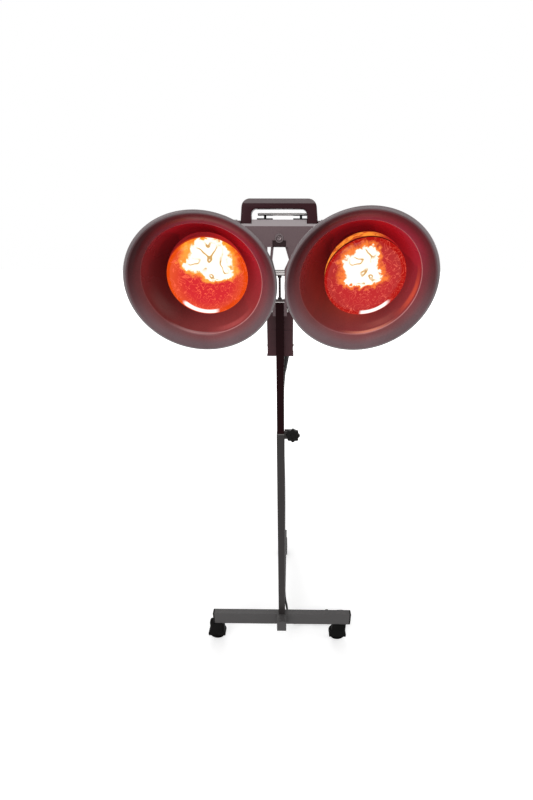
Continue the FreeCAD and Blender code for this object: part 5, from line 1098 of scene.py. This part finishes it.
# the rolled bead: its thickness, and its middle's radius and place behind the rim
BEAD, BEAD_RADIUS, BEAD_BEHIND = 0.002, 0.1115, 0.0012
bead_line = [(BEAD_RADIUS + BEAD * math.cos(math.radians(a)),
              BEAD_BEHIND + BEAD * math.sin(math.radians(a)))
             for a in (100, 60, 20, -20, -60, -100, -140)]
shade_profile = inner_line + outer_line + bead_line
SHADE_STEPS = 160
for side in HEADS:
    # the inside's colours carry painted glow, shade, sheens and a highlight
    inside_colours = inside_lacquer_and_glow(side)
    satin_grey = spun(f"satin_grey_{side}", side, (0.17, 0.14, 0.145), 0.4, 0.5)
    verts, faces = turned(shade_profile, head_place(side), steps=SHADE_STEPS, closed=True)
    indices = [0 if row < len(inner_line) else 1
               for row in range(len(shade_profile)) for _ in range(SHADE_STEPS)]
    built(f"spun_shade_{side}", verts, faces, [inside_colours, satin_grey], f"head_{side}",
          [f"shade_{side}"], indices, sharp=50)
    worked(f"lamp_housing_{side}", satin_grey, 0.0004)
    worked(f"rear_cap_{side}", satin_grey, 0.0006)

# ---------------------------------------------------------------- lamp holders
# Glazed ceramic screw holders, set in the housings, and in them the brass screw caps of the two
# lamps, rolled from sheet.

ceramic_glaze = coated("ceramic_glaze", (0.72, 0.69, 0.62), 0.16, peel=200.0, bump=0.00001,
                       dust=0.05, coat=0.5)
brass = coated("brass_cap", (0.62, 0.45, 0.2), 0.28, metallic=1.0, dust=0.0, scuff=0.2,
               scuff_colour=(0.4, 0.3, 0.15))
for side in HEADS:
    worked(f"lamp_holder_{side}", ceramic_glaze, 0.0006)
    worked(f"bulb_cap_{side}", brass, 0.0004)

# ---------------------------------------------------------------- lamps
# Blown infrared reflector bulbs of 125 mm, screwed in the holders. The red-coated, etched face
# glows, brightest before the filament; behind its edge the shoulder shows amber light.

BULB_WIDEST, BULB_APEX, BULB_RIM = 0.0625, 0.018, 0.034
BULB_END, BULB_NECK = 0.156, 0.017
dome_shares = [(0, 0), (0.35, 0.05), (0.66, 0.21), (0.87, 0.44), (0.975, 0.72), (1, 1)]
back_shares = [(0.015, 0.09), (0.06, 0.18), (0.16, 0.28), (0.36, 0.4), (0.64, 0.5), (0.87, 0.6),
               (0.965, 0.74), (1, 0.9), (1, 1)]
bulb_line = [(max(BULB_WIDEST * a, 0.00002), BULB_APEX + (BULB_RIM - BULB_APEX) * b)
             for a, b in dome_shares]
bulb_line += [(BULB_WIDEST - (BULB_WIDEST - BULB_NECK) * a,
               BULB_RIM + (BULB_END - 0.006 - BULB_RIM) * b) for a, b in back_shares]
bulb_line += [(0.0136, BULB_END)]

GLOW_STRENGTH = 1.25
HOT_WHITE, WIRE_BROWN, REFLECTION_WHITE = (1.0, 0.95, 0.8), (0.5, 0.3, 0.09), (1.0, 0.9, 0.85)
SHOULDER_RED, MIRROR_DARK = (0.3, 0.012, 0.012), (0.02, 0.006, 0.004)
RED_COAT, MIRROR_BACK = (0.06, 0.003, 0.003), (0.5, 0.45, 0.42)
# how deep behind the rim the face ends, the amber begins and the mirrored back begins
EDGE_DEPTH, AMBER_DEPTH, MIRROR_DEPTH = 0.0335, 0.0375, 0.062
FILAMENT_POWER = 0.22
FILAMENT_DEPTH = 0.05
# where the filament's light stands on each face, across and up from its middle, and how wide and
# tall it is, in metres
GLOWS = {
    "left": [(0.003, 0.048, 0.037, 0.021), (0.012, 0.03, 0.031, 0.02),
             (-0.02, 0.029, 0.02, 0.012), (0.016, 0.014, 0.03, 0.014)],
    "right": [(-0.018, 0.03, 0.026, 0.022), (-0.006, 0.006, 0.037, 0.0125),
              (-0.002, 0.043, 0.02, 0.016), (0.002, 0.018, 0.022, 0.014)],
}
# colours of each face and of the glass behind its edge, and where the low bright arc of the
# painted reflection runs across
LOOKS = {
    "left": {"edge": (0.62, 0.055, 0.001), "middle": (0.52, 0.005, 0.01),
             "swirl": (0.88, 0.115, 0.05), "halo": (0.9, 0.33, 0.03),
             "line": (0.36, 0.02, 0.006), "shoulder": (0.17, 0.009, 0.011),
             "shoulder_deep": (0.13, 0.006, 0.008), "arc": (-0.045, 0.014)},
    "right": {"edge": (0.33, 0.006, 0.004), "middle": (0.4, 0.005, 0.007),
              "swirl": (0.7, 0.1, 0.06), "halo": (0.85, 0.2, 0.02),
              "line": (0.04, 0.002, 0.002), "shoulder": (0.8, 0.25, 0.03),
              "shoulder_deep": (0.42, 0.05, 0.01), "arc": (-0.004, 0.045)},
}


def blob(tree, across, up, place):
    """1 at the middle of a soft oval and falling to 0 at twice its size."""
    x0, z0, wide, tall = place
    share_x = number(tree, "DIVIDE", number(tree, "SUBTRACT", across, x0), wide)
    share_z = number(tree, "DIVIDE", number(tree, "SUBTRACT", up, z0), tall)
    far = length_of(tree, combined(tree, share_x, share_z))
    return ramp(tree, far, 0.0, 2.0, 1.0, 0.0)


def glowing_glass(side):
    """The lamp's glass, lit from inside, with a painted reflection on its lower edge."""
    look = LOOKS[side]
    material = bpy.data.materials.new(f"glowing_red_glass_{side}")
    material.use_nodes = True
    tree = material.node_tree
    shader = tree.nodes["Principled BSDF"]
    local = own_axes(tree, side, aimed=True)
    x, y, z = parts_of(tree, local)
    sway = ramp(tree, noise(tree, local, 150.0, 3.0), 0.0, 1.0, -0.011, 0.011)
    mottle = noise(tree, local, 95.0, 2.0, distortion=1.0)
    sway_up = ramp(tree, mottle, 0.0, 1.0, -0.01, 0.01)
    across = number(tree, "ADD", x, sway)
    up = number(tree, "ADD", z, sway_up)
    light = None
    for place in GLOWS[side]:
        one = blob(tree, across, up, place)
        light = one if light is None else number(tree, "SMOOTH_MAX", light, one)
    out = length_of(tree, combined(tree, x, z))
    # red middle to orange edge, broken up by the etched face's swirls
    edge_share = ramp(tree, out, 0.03, 0.061, smooth=True)
    swirls = noise(tree, local, 105.0, 0.0, distortion=1.4)
    swirl = ramp(tree, distance(tree, swirls, 0.5), 0.01, 0.04, 0.75, 0.0)
    red = over(tree, edge_share, look["middle"], look["edge"])
    etched = over(tree, swirl, red, look["swirl"])
    warm = ramp(tree, light, 0.4, 0.64, smooth=True)
    hot = ramp(tree, light, 0.6, 0.68, smooth=True)
    haloed = over(tree, warm, etched, look["halo"])
    lit = over(tree, hot, haloed, HOT_WHITE)
    # thin dark turns of the filament and its hooks inside the brightest light
    coil = add(tree, "ShaderNodeTexWave", {"Vector": local, "Scale": 38.0, "Distortion": 12.0,
                                           "Detail": 1.0, "Detail Scale": 1.2}, wave_type="RINGS")
    thin = ramp(tree, coil.outputs[1], 0.9, 0.96)
    inside = ramp(tree, light, 0.7, 0.84)
    wire = number(tree, "MULTIPLY", thin, inside)
    wired = over(tree, wire, lit, WIRE_BROWN)
    # a painted reflection: a bright arc along the glass's lower edge
    low_share = ramp(tree, z, -0.03, -0.035)
    ring_in = ramp(tree, out, 0.0485, 0.0505)
    ring_out = ramp(tree, out, 0.0575, 0.0595, 1.0, 0.0)
    arc = number(tree, "MULTIPLY", ring_in, ring_out)
    arc_from, arc_to = look["arc"]
    arc_start = ramp(tree, x, arc_from, arc_from + 0.005)
    arc_end = ramp(tree, x, arc_to - 0.008, arc_to, 1.0, 0.0)
    arc_part = number(tree, "MULTIPLY", arc_start, arc_end)
    low_ring = number(tree, "MULTIPLY", arc, low_share)
    low_arc = number(tree, "MULTIPLY", low_ring, arc_part)
    with_reflection = over(tree, low_arc, wired, REFLECTION_WHITE)
    # behind the face: a dark edge, then amber glass, then the mirrored back
    depth_behind = number(tree, "ADD", y, LAMP_FOOT)
    past_edge = ramp(tree, depth_behind, EDGE_DEPTH, EDGE_DEPTH + 0.0015)
    past_line = ramp(tree, depth_behind, AMBER_DEPTH, AMBER_DEPTH + 0.002)
    past_amber = ramp(tree, depth_behind, MIRROR_DEPTH, MIRROR_DEPTH + 0.023)
    lined = over(tree, past_edge, with_reflection, look["line"])
    toward_mast = ramp(tree, x, 0.002, 0.03)
    mottled = ramp(tree, mottle, 0.42, 0.62)
    amber_glass = over(tree, mottled, look["shoulder"], look["shoulder_deep"])
    shoulder = over(tree, toward_mast, amber_glass, SHOULDER_RED)
    amber = over(tree, past_line, lined, shoulder)
    mirrored = over(tree, past_amber, amber, MIRROR_DARK)
    tree.links.new(mirrored, shader.inputs["Emission Color"])
    shader.inputs["Emission Strength"].default_value = GLOW_STRENGTH
    body = over(tree, past_amber, RED_COAT, MIRROR_BACK)
    tree.links.new(body, shader.inputs["Base Color"])
    shader.inputs["Roughness"].default_value = 0.16
    shader.inputs["Specular IOR Level"].default_value = 0.2
    etch = add(tree, "ShaderNodeBump", {"Height": swirls, "Distance": 0.0006, "Strength": 0.8})
    tree.links.new(etch.outputs[0], shader.inputs["Normal"])
    return material


for side in HEADS:
    angles = Euler((math.radians(HEADS[side]["droop"]), 0, math.radians(HEADS[side]["lean"])))
    foot = Matrix.Translation((0, LAMP_FOOT - REACH, 0))
    lamp_place = head_place(side, foot @ angles.to_matrix().to_4x4() @ foot.inverted())
    verts, faces = turned(bent(bulb_line, 6), lamp_place, steps=128)
    glass = built(f"lamp_glass_{side}", verts, faces, [glowing_glass(side)], f"head_{side}",
                  [f"bulb_glass_{side}"], sharp=70)
    glass.visible_shadow = False
    # the filament's own light, reddened by the glass, falls on the bowl round the lamp
    filament = bpy.data.lights.new(f"filament_{side}", "POINT")
    filament.energy = FILAMENT_POWER
    filament.color = (1.0, 0.16, 0.17)
    filament.shadow_soft_size = 0.03
    filament_object = placed(f"filament_{side}", filament)
    filament_object.parent = frame["bodies"][f"head_{side}"]
    filament_object.location = lamp_place @ Vector((0, 0, FILAMENT_DEPTH))
    filament_object.visible_camera = False
